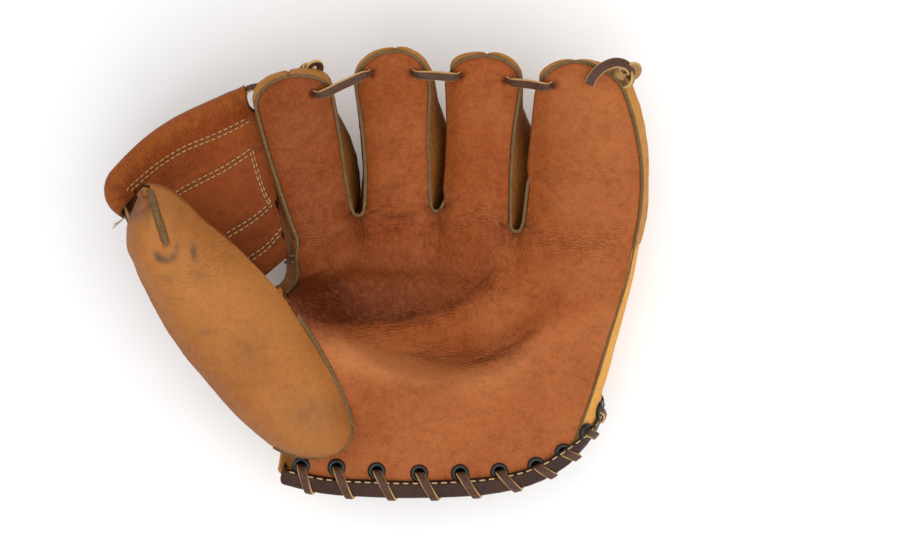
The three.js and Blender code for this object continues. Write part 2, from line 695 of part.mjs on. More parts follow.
// Rolled eyelet: a barrel through the leather with a flange on its face.
function eyeletGeometry() {
  const barrel = EYELET_BORE + EYELET_WALL;
  const seat = SHELL / 2 + EYELET_SEAT;
  const profile = [
    [EYELET_BORE, -seat],
    [barrel, -seat],
    [barrel, seat],
    [EYELET_FLANGE, seat],
    [EYELET_FLANGE - 0.5, seat + EYELET_RIM],
    [EYELET_BORE, seat + EYELET_RIM],
    [EYELET_BORE, -seat],
  ].map(([r, z]) => new THREE.Vector2(r, z));
  return new THREE.LatheGeometry(profile, 12);
}

// Binding: a strip folded over the leather edge, closed end outwards.
const bindingInner = SHELL / 2 + BINDING.clearance;
const bindingOuter = bindingInner + BINDING.thickness;
const bindingEnd = BINDING.clearance + BINDING.thickness;
const BINDING_SECTION = [
  [-BINDING.leg, bindingInner],
  [BINDING.clearance, bindingInner],
  [BINDING.clearance, -bindingInner],
  [-BINDING.leg, -bindingInner],
  [-BINDING.leg, -bindingOuter],
  [BINDING.clearance, -bindingOuter],
  [bindingEnd, -bindingInner],
  [bindingEnd, bindingInner],
  [BINDING.clearance, bindingOuter],
  [-BINDING.leg, bindingOuter],
];
const bindingRing = ({ at, inward, normal }) =>
  BINDING_SECTION.map(([out, up]) =>
    at.clone().addScaledVector(inward, -out).addScaledVector(normal, up),
  );

// One lace winds through the eyelets and over the binding, one loop to each eyelet.
const loopReach = (EYELET_INSET + bindingEnd + LACE.thickness / 2 + 3 * SEAM_GAP) / 2;
const loopHeight = SHELL / 2 + EYELET_SEAT + EYELET_RIM + LACE.thickness / 2 + 3 * SEAM_GAP;
const squared = (x) => sign(x) * abs(x) ** 0.6;
function lacePoint(loop, turn) {
  const from = eyeletPlaces[loop];
  const to = eyeletPlaces[loop + 1] ?? from + 2;
  const frame = frameAt(mix(from, to, (turn - sin(turn)) / (2 * PI)));
  const place = eyeletCentre(frame);
  const radial = frame.inward.clone().multiplyScalar(cos(turn));
  radial.addScaledVector(frame.normal, sin(turn)).normalize();
  place.addScaledVector(frame.inward, -loopReach * (1 - squared(cos(turn))));
  place.addScaledVector(frame.normal, loopHeight * squared(sin(turn)));
  return { place, radial };
}
const LACE_START = -0.75;
const LACE_END = 1.35;
function laceRoute() {
  const route = steps(LACE_START, 0, 3).slice(0, 3).map((turn) => lacePoint(0, turn));
  eyeletFrames.forEach((_, loop) => {
    const last = loop === eyeletFrames.length - 1;
    const whole = steps(0, 2 * PI, LACE_SECTIONS_PER_LOOP).slice(0, -1);
    const turns = last ? steps(0, LACE_END * PI, 12) : whole;
    route.push(...turns.map((turn) => lacePoint(loop, turn)));
  });
  return route;
}

// Least gap of a route to itself, between points more than half a loop apart.
function leastGap(route, thickness) {
  const apart = LACE_SECTIONS_PER_LOOP / 2;
  let least = Infinity;
  for (let i = 0; i < route.length; i++)
    for (let j = i + apart; j < route.length; j++)
      least = min(least, route[i].place.distanceTo(route[j].place));
  return least - thickness;
}

// Finger lace

const laceHole = (finger, side) => {
  const at = finger.front(FINGER_LACE_SHARE, side * FINGER_LACE_SIDE);
  return { at, normal: finger.normal(FINGER_LACE_SHARE) };
};
const raised = (hole, height) => hole.at.clone().addScaledVector(hole.normal, height);

// In and out of the stalls, across the gaps between the fingers.
function fingerLaceGeometry() {
  const route = fingers.flatMap((finger, i) => {
    const [a, b] = [-1, 1].map((side) => laceHole(finger, side));
    const enter = [raised(a, LACE_LIFT), raised(a, -SHELL - 1)];
    const inner = between(a.at, b.at, 0.5).addScaledVector(a.normal, -SHELL - LACE_SINK);
    const leave = [raised(b, -SHELL - 1), raised(b, LACE_LIFT)];
    return [...(i > 0 ? enter : []), inner, ...(i + 1 < fingers.length ? leave : [])];
  });
  return tube(route, LACE.width / 2 - 0.2, 8, 56);
}

// Knots that end the finger lace, outside the index finger and the little finger.
const joinedGeometry = (pieces) => {
  const mesh = pieces.map(solidOf).reduce((sum, solid) => sum.add(solid)).getMesh();
  const made = new THREE.BufferGeometry();
  made.setAttribute("position", new THREE.Float32BufferAttribute(mesh.vertProperties, 3));
  made.setIndex(Array.from(mesh.triVerts));
  return made;
};
const knotAt = (centre) =>
  new THREE.SphereGeometry(KNOT.radius, 10, 7).scale(1, 0.85, 0.8).translate(...centre.toArray());
function beside(finger, s, angle, gap) {
  const away = finger.outward(s, angle).normalize();
  return finger.back(s, angle).addScaledVector(away, KNOT.radius + gap);
}
function littleKnot() {
  const little = fingers[3];
  const s = KNOT.share;
  const out = little.normal(s);
  const centre = beside(little, s, 0.3, 0.8);
  const over = little.right(s + 0.06).addScaledVector(out, 8).addScaledVector(little.across, 0.5);
  const end = little.front(s - 0.02, KNOT.tailSide).addScaledVector(out, 2.8);
  const tail = tube([centre, over, end], LACE.width / 2 - 0.4, 6, 10);
  return joinedGeometry([knotAt(centre), tail]);
}
const indexKnot = () => knotAt(beside(fingers[0], 0.95, 0.95, 2.1));

// Web: a folded sheet whose upper edge is rolled into a tube, from the index finger to the thumb

const indexEdge = (s, drop) => {
  const index = fingers[0];
  const stand = index.bulge + WEB.standOff;
  const p = index.left(s).addScaledVector(index.across, -stand);
  return p.addScaledVector(index.normal(s), -drop);
};
const webBottomRight = indexEdge(WEB_INDEX_SHARES[0], WEB_BOTTOM_RIGHT_DROP);
const webTopRight = indexEdge(WEB_INDEX_SHARES[1], WEB_TOP_RIGHT_DROP);
const webAlong = WEB_TOP_LEFT.clone().sub(webTopRight).normalize();
// Section of the web at t, from the index finger at 0 to the thumb at 1.
function webFrame(t) {
  const low = between(webBottomRight, WEB_BOTTOM_LEFT, t);
  const high = between(webTopRight, WEB_TOP_LEFT, t);
  high.y += WEB.arch * sin(PI * t);
  const rise = high.clone().sub(low);
  const axis = rise.length() - WEB.rollRadius;
  const up = rise.normalize();
  const out = up.clone().cross(webAlong).negate().normalize();
  return { low, up, out, axis };
}

function webGeometry() {
  const half = WEB.sheet / 2;
  const sections = steps(0, 1, 8).map((t) => {
    const { low, up, out, axis } = webFrame(t);
    const arc = (radius, [from, to], count) =>
      steps(radians(from), radians(to), count).map((a) => [
        radius * cos(a),
        axis + radius * sin(a),
      ]);
    const flapEnd = axis - 2.2 * WEB.rollRadius;
    const profile = [
      [half, 0],
      ...arc(WEB.rollRadius, WEB_TURNS.outer, 10),
      [-half - SEAM_GAP - WEB.flap, flapEnd],
      [-half - SEAM_GAP, flapEnd],
      ...arc(WEB.rollBore, WEB_TURNS.inner, 8),
      [-half, 0],
    ];
    return profile.map(([a, b]) => low.clone().addScaledVector(out, a).addScaledVector(up, b));
  });
  return skinned(sections);
}

// Lace that hangs the web: through the roll, into the thumb at one end and the index finger at the other.
const rollAxis = (t) => {
  const { low, up, axis } = webFrame(t);
  return low.clone().addScaledVector(up, axis);
};
const indexHole = rollAxis(0).addScaledVector(webAlong, -WEB_LACE.reach);
const thumbHole = thumb.back(WEB_LACE.thumbShare, WEB_LACE.thumbAngle);
const thumbHoleOut = thumb.outward(WEB_LACE.thumbShare, WEB_LACE.thumbAngle).normalize();
function webLaceGeometry() {
  const route = [
    thumbHole.clone().addScaledVector(thumbHoleOut, -SHELL - 4),
    thumbHole.clone().addScaledVector(thumbHoleOut, 1),
    rollAxis(1).addScaledVector(webAlong, WEB_LACE.turn),
    ...steps(0.97, 0, 5).map(rollAxis),
    indexHole.clone(),
    indexHole.clone().addScaledVector(webAlong, -SHELL - 4),
  ];
  return tube(route, WEB_LACE.radius, 6, 36);
}

// Wrist strap

const strapLine = spline(
  STRAP_LINE.map(([x, y], i) => point(x, y, i === 0 ? STRAP.rootHeight : STRAP.height)),
);
function strapSurface(t, w) {
  const at = strapLine.getPoint(min(max(t, 0), 1));
  const tangent = strapLine.getTangent(min(max(t, 0), 1));
  const across = UP.clone().cross(tangent).normalize();
  const tongue = sqrt(max(0.12, 1 - smooth(t, 0.9, 1) ** 2));
  at.z += STRAP.thickness / 2;
  return at.addScaledVector(across, (w * STRAP.width * tongue) / 2);
}
const snapCentre = strapLine.getPointAt(1 - SNAP.inset / strapLine.getLength());
const snapHole = (z) => drill(point(snapCentre.x, snapCentre.y, z), UP, SNAP.post + 0.3, 4 * SHELL);
const turned = (profile) =>
  new THREE.LatheGeometry(profile.map(([r, z]) => new THREE.Vector2(r, z)), 14).rotateX(PI / 2);

// Snap: a domed cap whose post passes the strap, and a socket riveted through the ear.
const strapBottom = STRAP.height - STRAP.thickness / 2;
const strapTop = STRAP.height + STRAP.thickness / 2;
const snapCap = () => {
  const seat = strapBottom - SEAM_GAP;
  return turned([
    [0, seat - SNAP.capHeight],
    [0.7 * SNAP.cap, seat - SNAP.capHeight],
    [SNAP.cap, seat - 0.4 * SNAP.capHeight],
    [SNAP.cap, seat],
    [SNAP.post, seat],
    [SNAP.post, strapTop + 0.1],
    [0, strapTop + 0.1],
  ]);
};
const snapSocket = () => {
  const inside = EAR.height + SHELL + SEAM_GAP;
  return turned([
    [0, strapTop + SEAM_GAP],
    [SNAP.flange, strapTop + SEAM_GAP],
    [SNAP.flange, EAR.height - 3 * SEAM_GAP],
    [SNAP.post, EAR.height - 3 * SEAM_GAP],
    [SNAP.post, inside],
    [SNAP.flange, inside],
    [0.8 * SNAP.flange, inside + SNAP.rim],
    [0, inside + SNAP.rim],
  ]);
};

// Assembly

const material = (color, roughness, metalness = 0) =>
  new THREE.MeshStandardMaterial({ color, roughness, metalness });
const leather = material(LEATHER_COLOUR, 0.55);
const tan = material(TAN_COLOUR, 0.55);
const weltLeather = material(WELT_COLOUR, 0.85);
const laceLeather = material(LACE_COLOUR, 0.5);
const bindingLeather = material(BINDING_COLOUR, 0.45);
const felt = material(FELT_COLOUR, 0.95);
const liningLeather = material(LINING_COLOUR, 0.75);
const enamel = material(EYELET_COLOUR, 0.3, 0.6);

const glove = new THREE.Group();
const bodies = Object.fromEntries(
  ["palm", "fingers", "thumb", "web", "strap"].map((name) => [name, new THREE.Group()]),
);
Object.values(bodies).forEach((body) => {
  body.position.copy(CENTRING);
  glove.add(body);
});
function addPiece(body, name, geometry, finish) {
  const mesh = new THREE.Mesh(geometry, finish.clone());
  mesh.name = name;
  bodies[body].add(mesh);
  return mesh;
}

// Fingers
fingers.forEach((finger) => {
  const rows = stations(finger, 0, 5, 3);
  const laced = [-1, 1].filter((side) => {
    const outer = { index: -1, little: 1 }[finger.name];
    return side !== outer;
  });
  const holes = laced
    .map((side) => laceHole(finger, side))
    .map((hole) => drill(raised(hole, -SHELL / 2), hole.normal, LACE_HOLE, 4 * SHELL));
  const front = stallFront(finger, rows, steps(-1, 1, 6)).geometry;
  addPiece("fingers", finger.name + "_finger_front", cut(front, holes), leather);
  const thumbSide = stallBack(finger, -1, rows, 5);
  const webHole = drill(indexHole, webAlong, WEB_LACE.hole, 8 * SHELL);
  const pierced = finger.name === "index" ? cut(thumbSide, [webHole]) : thumbSide;
  addPiece("fingers", finger.name + "_finger_back_thumb_side", pierced, tan);
  const littleSideBack = stallBack(finger, 1, rows, 5);
  addPiece("fingers", finger.name + "_finger_back_little_side", littleSideBack, tan);
  const seam = stations(finger, 0.03, 5, 4);
  const welt = [...seam.map(finger.left), finger.middle(1), ...seam.map(finger.right).reverse()];
  addPiece("fingers", finger.name + "_finger_welt", weltOf(welt, 30), weltLeather);
});
addPiece("fingers", "finger_lace", fingerLaceGeometry(), laceLeather);

// Thumb
const thumbRows = stations(thumb, 0, 7, 4);
addPiece("thumb", "thumb_front", stallFront(thumb, thumbRows, steps(-1, 1, 8)).geometry, tan);
const innerRows = stations(thumb, 0, 7, 4).filter((s) => s > THUMB_MOUTH_SHARE);
const outerHole = drill(thumbHole, thumbHoleOut, WEB_LACE.hole, 4 * SHELL);
addPiece("thumb", "thumb_back_outer", cut(stallBack(thumb, -1, thumbRows, 5), [outerHole]), tan);
addPiece("thumb", "thumb_back_inner", stallBack(thumb, 1, innerRows, 5), tan);
const thumbLeft = thumbRows.map(thumb.left);
const thumbRight = thumbRows.map(thumb.right).reverse();
const thumbSeam = [...thumbLeft, thumb.middle(1), ...thumbRight];
addPiece("thumb", "thumb_welt", weltOf(thumbSeam, 40), weltLeather);

// Palm
const drills = eyeletFrames.map((frame) =>
  drill(eyeletCentre(frame), frame.normal, EYELET_BORE + EYELET_WALL + 0.3, 3 * SHELL, 14),
);
const palmRows = [0, 0.05, 0.12, 0.18, 0.25, 0.32, 0.38, 0.44, 0.5, 0.56, 0.63, 0.7, 0.8, 0.9, 1];
const palmColumns = steps(0, 1, 20);
// A layer of the palm between two drops below its face, over part of its grid.
function palmLayer(rows, columns, from, to) {
  const inRows = palmRows.filter((v) => v >= rows[0] && v <= rows[1]);
  const inColumns = palmColumns.filter((u) => u >= columns[0] && u <= columns[1]);
  const layer = (drop) => (v, u) => palmBelow(drop)(u, v);
  return slab(inRows, inColumns, layer(from), layer(to));
}
const palmShell = palmLayer([0, 1], [0, 1], () => 0, () => SHELL);
addPiece("palm", "palm_front", cut(palmShell, drills.slice(0, EYELETS_ON_PALM)), leather);
const padTop = SHELL + SEAM_GAP;
const padBottom = (u, v) => padTop + padThickness(u, v);
const heelPad = palmLayer([0.15, 0.6], [0.09, 0.91], () => padTop, padBottom);
addPiece("palm", "heel_pad", heelPad, felt);
const liningTop = (u, v) => padBottom(u, v) + SEAM_GAP;
const liningBottom = (u, v) => liningTop(u, v) + LINING;
const palmLining = palmLayer([0.15, 0.95], [0.04, 0.96], liningTop, liningBottom);
addPiece("palm", "palm_lining", palmLining, liningLeather);
const sideWeltPoints = steps(0.06, 0.97, 12).map(sideWelt);
addPiece("palm", "little_side_welt", weltOf(sideWeltPoints, 16), weltLeather);

// Back
const sideColumns = [0, 0.04, 0.1, 0.2, 0.32, 0.46, 0.62, 0.8, 1];
const side = sheet(steps(0, 1, 8), sideColumns, littlePanel, littleSideOut, SHELL);
addPiece("palm", "little_side_panel", cut(side, drills.slice(EYELETS_ON_PALM)), tan);
const gussetOut = () => point(-1, 0, -0.3);
const gussetSheet = sheet(steps(0, 1, 4), steps(0, 1, 5), gusset, gussetOut, SHELL);
addPiece("palm", "thumb_gusset", gussetSheet, tan);
const thumbSideSheet = sheet(steps(0, 1, 9), steps(0, 1, 4), thumbSide, thumbSideOut, SHELL);
addPiece("palm", "thumb_side_panel", thumbSideSheet, tan);
const backRows = [0, 0.08, 0.17, 0.26, 0.36, 0.6, 0.8, 1];
const backFace = (r, share) => handBack(share, r);
const backInside = (r, share) => handBack(share, r).add(point(0, 0, SHELL));
addPiece("palm", "hand_back", slab(backRows, steps(0, 1, 8), backFace, backInside), tan);
const earSheet = sheet(steps(0, 1, 12), steps(0, 1, 2), ear, () => point(0, -1, -1), SHELL);
addPiece("palm", "thumb_side_ear", cut(earSheet, [snapHole(EAR.height)]), tan);

// Heel lacing
eyeletFrames.forEach((frame, i) => {
  const name = "eyelet_" + String(i + 1).padStart(2, "0");
  const eyelet = addPiece("palm", name, eyeletGeometry(), enamel);
  eyelet.position.copy(eyeletCentre(frame));
  eyelet.quaternion.setFromUnitVectors(point(0, 1, 0), frame.normal);
});
addPiece("palm", "heel_binding", skinned(frames.map(bindingRing)), bindingLeather);
const heelLace = laceRoute();
const heelLaceGap = leastGap(heelLace, LACE.thickness);
console.log("heel lace, least gap to itself:", heelLaceGap.toFixed(2), "mm");
const heelLacePlaces = heelLace.map((p) => p.place);
const heelLaceOut = (i) => heelLace[i].radial;
const heelRibbon = ribbon(heelLacePlaces, heelLaceOut, LACE.width, LACE.thickness, 4);
addPiece("palm", "heel_lace", heelRibbon, laceLeather);

addPiece("fingers", "index_lace_knot", indexKnot(), laceLeather);
addPiece("fingers", "little_lace_knot", littleKnot(), laceLeather);

// Web
addPiece("web", "web_panel", webGeometry(), leather);
addPiece("web", "web_lace", webLaceGeometry(), laceLeather);

// Wrist strap
const strap = sheet(steps(0, 1, 14), steps(-1, 1, 2), strapSurface, () => UP, STRAP.thickness);
addPiece("strap", "wrist_strap", cut(strap, [snapHole(STRAP.height)]), tan);
const cap = addPiece("strap", "snap_cap", snapCap(), enamel);
const socket = addPiece("palm", "snap_socket", snapSocket(), enamel);
[cap, socket].forEach((piece) => piece.position.set(snapCentre.x, snapCentre.y, 0));

export default glove;
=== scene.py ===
"""Dressed model of a leather fielding glove that lies on its back with the pocket up."""

import bpy
import numpy as np
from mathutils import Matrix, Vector


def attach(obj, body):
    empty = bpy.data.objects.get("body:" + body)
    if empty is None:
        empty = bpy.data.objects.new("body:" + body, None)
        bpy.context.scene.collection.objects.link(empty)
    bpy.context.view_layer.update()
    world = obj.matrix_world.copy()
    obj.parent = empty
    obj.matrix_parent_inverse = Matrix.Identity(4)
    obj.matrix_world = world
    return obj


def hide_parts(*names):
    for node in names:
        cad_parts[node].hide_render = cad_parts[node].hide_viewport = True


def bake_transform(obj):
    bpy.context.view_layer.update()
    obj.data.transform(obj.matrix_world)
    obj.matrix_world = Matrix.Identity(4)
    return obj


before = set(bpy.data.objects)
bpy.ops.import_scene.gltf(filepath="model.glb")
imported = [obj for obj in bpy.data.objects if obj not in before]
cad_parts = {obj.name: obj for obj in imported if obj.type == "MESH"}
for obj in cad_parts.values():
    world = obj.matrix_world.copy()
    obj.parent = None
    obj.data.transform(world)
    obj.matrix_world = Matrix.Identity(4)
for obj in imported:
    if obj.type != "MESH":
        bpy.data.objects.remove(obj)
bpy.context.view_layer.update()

# Sizes in millimetres, in the drawing's frame; CENTRING moves it to the middle of the glove
CENTRING = np.array([0.39, -0.62, 0.0])
SHELL = 3.0
LEATHER = 2.4  # thickness of the leather that shows
LINING = 1.5
SEAM_GAP = 0.4
WELT_RADIUS = 1.2
SEAM_INSET = WELT_RADIUS + SEAM_GAP
PAD_EDGE = 1.2
PAD_SWELL = 9.0
UP = np.array([0.0, 0.0, 1.0])

# Four finger stalls, from the index finger to the little finger
CROTCH_GAP = 5.4
FINGER_BACK_HEIGHT = 4.2
FINGER_CROWN = 4.0
FINGER_BULGE = 2.6
FINGER_CURL = 0.3
BASE_LEFT_X = -42.0
FINGER_NAMES = ["index", "middle", "ring", "little"]
FINGER_BASES = [32.5, 34.5, 35, 50.8]
FINGER_MIDDLES = [35.4, 31, 29, 45]
FINGER_TIPS = [32.4, 43, 36.5, 30]
FINGER_ROUNDS = [10, 19, 13, 12]
FINGER_LENGTHS = [67, 67.2, 68.9, 73.7]
FINGER_LEANS = [-10.7, 0, 3.7, -0.9]
FINGER_BOWS = [0, 0.7, 0, 4]
FINGER_TOPS = [83, 79, 79, 87]
FINGER_DEPTHS = [27, 26, 26, 29]
FINGER_TIP_DEPTHS = [0.65, 0.4, 0.45, 0.35]  # shares of the depth that are left at the tips
TRIM_SHARES = [0, 0.03, 0.07, 0.125, 0.2, 0.3, 0.42, 0.55, 0.7, 0.85, 0.93, 1]
FINGER_TRIMS = [  # widening of the thumb side and the little side at these shares of the length
    ([-5, -5, -4.8, -4.6, -4.4, -4.1, -3.5, -2.8, -1.8, -0.8, -0.4, 0],
     [0, -0.1, -0.5, -1.1, -1.6, -1.8, -1.8, -1.5, -1, -0.3, -0.1, 0]),
    (0, [0.3, 0.2, 0, -0.2, -0.6, -1.2, -2, -2.9, -3.6, -4.4, -4.6, -4.8]),
    (0, [0.3, 0.3, 0.2, 0.1, 0, -0.3, -0.6, -0.9, -1.1, -1.2, -1.2, -1.2]),
    (0, [3, 3, 2.9, 2.7, 2.5, 2.2, 1.9, 1.5, 1.1, 0.6, 0.3, 0]),
]
INDEX_CORNER = 6.0  # how far the palm's corner at the index finger stands in
CROTCH_Y = [9.5, 27, 29, 20, 13]
CROTCH_Z = [52, 46, 44, 48, 58]
TIP_NARROWS_FROM = 0.55  # shares of a stall's length
TIP_SHIFTS_FROM = 0.8
TIP_END = 0.9995
BASE_START = 0.0006
CROWN_POWER = 3  # squareness of the sections of a stall
BACK_SIDE_POWER = 0.7
BACK_DROP_POWER = 0.9

# Thumb stall
THUMB = {
    "base": (-17, -76.6), "length": 138, "lean": -37, "bow": -2.6, "widths": [33.7, 50.4, 28],
    "left_heights": [53, 92], "right_heights": [58, 97], "curl": 0.2, "crown": 15,
    "depths": [22, 20], "tip_round": 17.5, "base_round": 20.5, "bulge": 0.3,
    "trims": ([0, 0.1, 0.2, 0.3, 0.3, 0.3, 0.2, 0.2, 0, 0.8, 4.15, 10],
              [0, -2, -4, -4.6, -3.6, -2.4, -1.6, -2, -3, -5.2, -7.2, -8]),
    "tip_shift": 5,
}
THUMB_SEAM_SHARE = 0.47
THUMB_MOUTH_SHARE = 0.5
PALM_SEAM_SHARES = [0.014, 0.045, 0.1, 0.2, 0.33, THUMB_SEAM_SHARE]
PALM_SEAM_OFFSETS = (-3.0, 1.0)  # of the palm's edge beside the thumb, at the heel and further up
PALM_SEAM_HEIGHT = 50.0  # at the heel
CROTCH_HEIGHT = 46.0
CROTCH_SHIFT = np.array([2.0, 0.0, -3.0])

# Heel and wrist
HEEL_LEFT = (-43.2, -89.2, 46)
HEEL_RIGHT = (82.4, -80.9, 45.5)
HEEL_EDGE = [HEEL_LEFT, (-26, -93.2, 47), (-1, -94.9, 48), (26.5, -95, 48), (52.9, -92.8, 48),
             (70, -88.1, 47), HEEL_RIGHT]
LITTLE_EDGE = [(91.6, -56, 47), (101.2, -24, 51), (107.1, -4, 55)]
HEEL_SWELL = 15.0
HEEL_RIDGE = {"x": 24.0, "y": -48.5, "bend": 0.0104, "front": 10.0, "back": 24.0, "reach": 44.0}
POCKET_DEPTH = 17.0
POCKET = {"x": -3, "y": -9, "rx": 42, "ry": 34}
SIDE_REACH = 32.0
SIDE_BULGE = 0.5
SIDE_CORNER = 2.5
SIDE_OFFSET = SHELL + 2 * SEAM_INSET
SIDE_START = 1.3
SIDE_SHOULDER = 2.4
SIDE_SHARES_V = [0, 0.1, 0.25, 0.5, 1]
SIDE_STRIP = [12.5, 7.6, 2.2, -0.4, -3]  # added to the strip that shows, from the wrist to the fingers
SIDE_MIDDLE = np.array([-SIDE_REACH, 0.0, -20.0])  # from the side's seam to a place inside the hand
WRIST_SLOPE = 34.0
WRIST_HEIGHT = 9.0
WRIST_FALL = 9.0  # how soon the side leather recedes under the wrist
ROUND_POWER = 0.6  # squareness of the side leather and the gusset
BACK = {"left": -37, "wrist": -38, "knuckle": 26, "flat_from": -16, "rise": 7, "knuckle_gap": 3}
BACK_LAP = SHELL + 3 * SEAM_GAP
GUSSET = {"from": 0.7, "wide": 32.5, "narrow": 24.0, "depth": 16.0, "ahead": 8.0}
EAR = {"left": -44, "right": -21, "top_left": -44, "top_right": -36, "height": 7.9}
EAR_COURSE = [(-50, EAR["height"]), (-66, EAR["height"]), (-78, 15), (-84.5, 29)]  # way up the glove, height

# Heel lacing
EYELET_INSETS = [6.8, 8.8, 8.2, 7.6, 7.0, 5.8, 3.9, 2.9, 4.0, 6.0]
EYELET_PLACES = [0.22, 2.84, 5.66, 8.61, 11.45, 14.24, 16.94, 19.1, 21.29, 23.06]  # in wrist frames
PALM_EYELETS = 8
EYELET_BORE = 2.0
EYELET_WALL = 0.5
EYELET_FLANGE = 4.0
EYELET_RIM = 0.95
EYELET_SEAT = 0.35
BINDING = {"leg": 4.4, "thickness": 0.9, "clearance": 0.6, "out": 3.4, "end_round": 2.4}
LACE = {"width": 3.8, "thickness": 1.3, "top_share": 0.37}
PALM_FRAMES = 20
SIDE_FRAMES = 7


def vec(*values):
    return np.array(values, float)


def unit(v):
    return v / np.maximum(np.linalg.norm(v, axis=-1, keepdims=True), 1e-9)


def bell(x):
    return np.exp(-np.square(x))


def bump_at(x, y, centre, wide, tall):
    """A round bell over a place, with its half width and half height."""
    return bell(np.hypot((x - centre[0]) / wide, (y - centre[1]) / tall))


def smooth(x, start, end):
    t = np.clip((x - start) / (end - start), 0, 1)
    return t * t * (3 - 2 * t)


def mix(a, b, t):
    return a + (b - a) * t


def ripples(place, pitch):
    return np.cos(2 * np.pi * place / pitch)


def signed_power(x, power):
    return np.sign(x) * np.abs(x) ** power


def shares(count):
    return np.linspace(0, 1, count)


def paired(a, b):
    return np.broadcast_arrays(np.asarray(a, float), np.asarray(b, float))


def run_lengths(path):
    """Length along a path up to each of its points."""
    return np.concatenate([[0], np.cumsum(np.linalg.norm(np.diff(path, axis=0), axis=1))])


def read_at(at, runs, rows):
    """Rows of three values, read between the lengths at which they are known."""
    return np.stack([np.interp(at, runs, rows[:, k]) for k in range(3)], -1)


class Spline:
    """A centripetal curve through points, read by its parameter or by a share of its length."""

    def __init__(self, points, samples=400):
        points = np.asarray(points, float)
        before, after = 2 * points[0] - points[1], 2 * points[-1] - points[-2]
        self.knots = np.vstack([before, points, after])
        self.spans = len(points) - 1
        self.parameters = shares(samples + 1)
        runs = run_lengths(self.at(self.parameters))
        self.length = runs[-1]
        self.shares = runs / self.length

    def at(self, t):
        place = np.clip(np.asarray(t, float), 0, 1) * self.spans
        i = np.minimum(place.astype(int), self.spans - 1)
        w = (place - i)[..., None]
        a, b, c, d = (self.knots[i + k] for k in range(4))
        chords = (b - a, c - b, d - c)
        ab, bc, cd = (np.sqrt(np.linalg.norm(chord, axis=-1, keepdims=True)) for chord in chords)
        m1 = ((b - a) / ab - (c - a) / (ab + bc) + (c - b) / bc) * bc
        m2 = ((c - b) / bc - (d - b) / (bc + cd) + (d - c) / cd) * bc
        return b + m1 * w + (3 * (c - b) - 2 * m1 - m2) * w**2 + (2 * (b - c) + m1 + m2) * w**3

    def along(self, share):
        return self.at(np.interp(share, self.shares, self.parameters))


def value_noise(p):
    """Smooth noise from -1 to 1 with one cell per unit, the same on every run."""
    p = np.asarray(p, float)
    cell = np.floor(p).astype(np.int64)
    f = p - cell
    f = f * f * (3 - 2 * f)

    def corner(dx, dy, dz):
        h = (cell[..., 0] + dx) * 73856093 ^ (cell[..., 1] + dy) * 19349663 ^ (cell[..., 2] + dz) * 83492791
        h = (h ^ (h >> 13)) * 1274126177 & 0x7FFFFFFF
        return ((h ^ (h >> 16)) & 0xFFFF) / 32767.5 - 1

    total = 0
    for steps in np.ndindex(2, 2, 2):
        weight = 1
        for axis, step in enumerate(steps):
            weight = weight * (f[..., axis] if step else 1 - f[..., axis])
        total = total + weight * corner(*steps)
    return total


def folds(p, size, octaves=3):
    """Layered noise for the unevenness of worn leather."""
    total, strength = 0, 1.0
    for octave in range(octaves):
        total = total + strength * value_noise(np.asarray(p) * (2**octave / size) + 17.3 * octave)
        strength *= 0.5
    return total


# Stalls


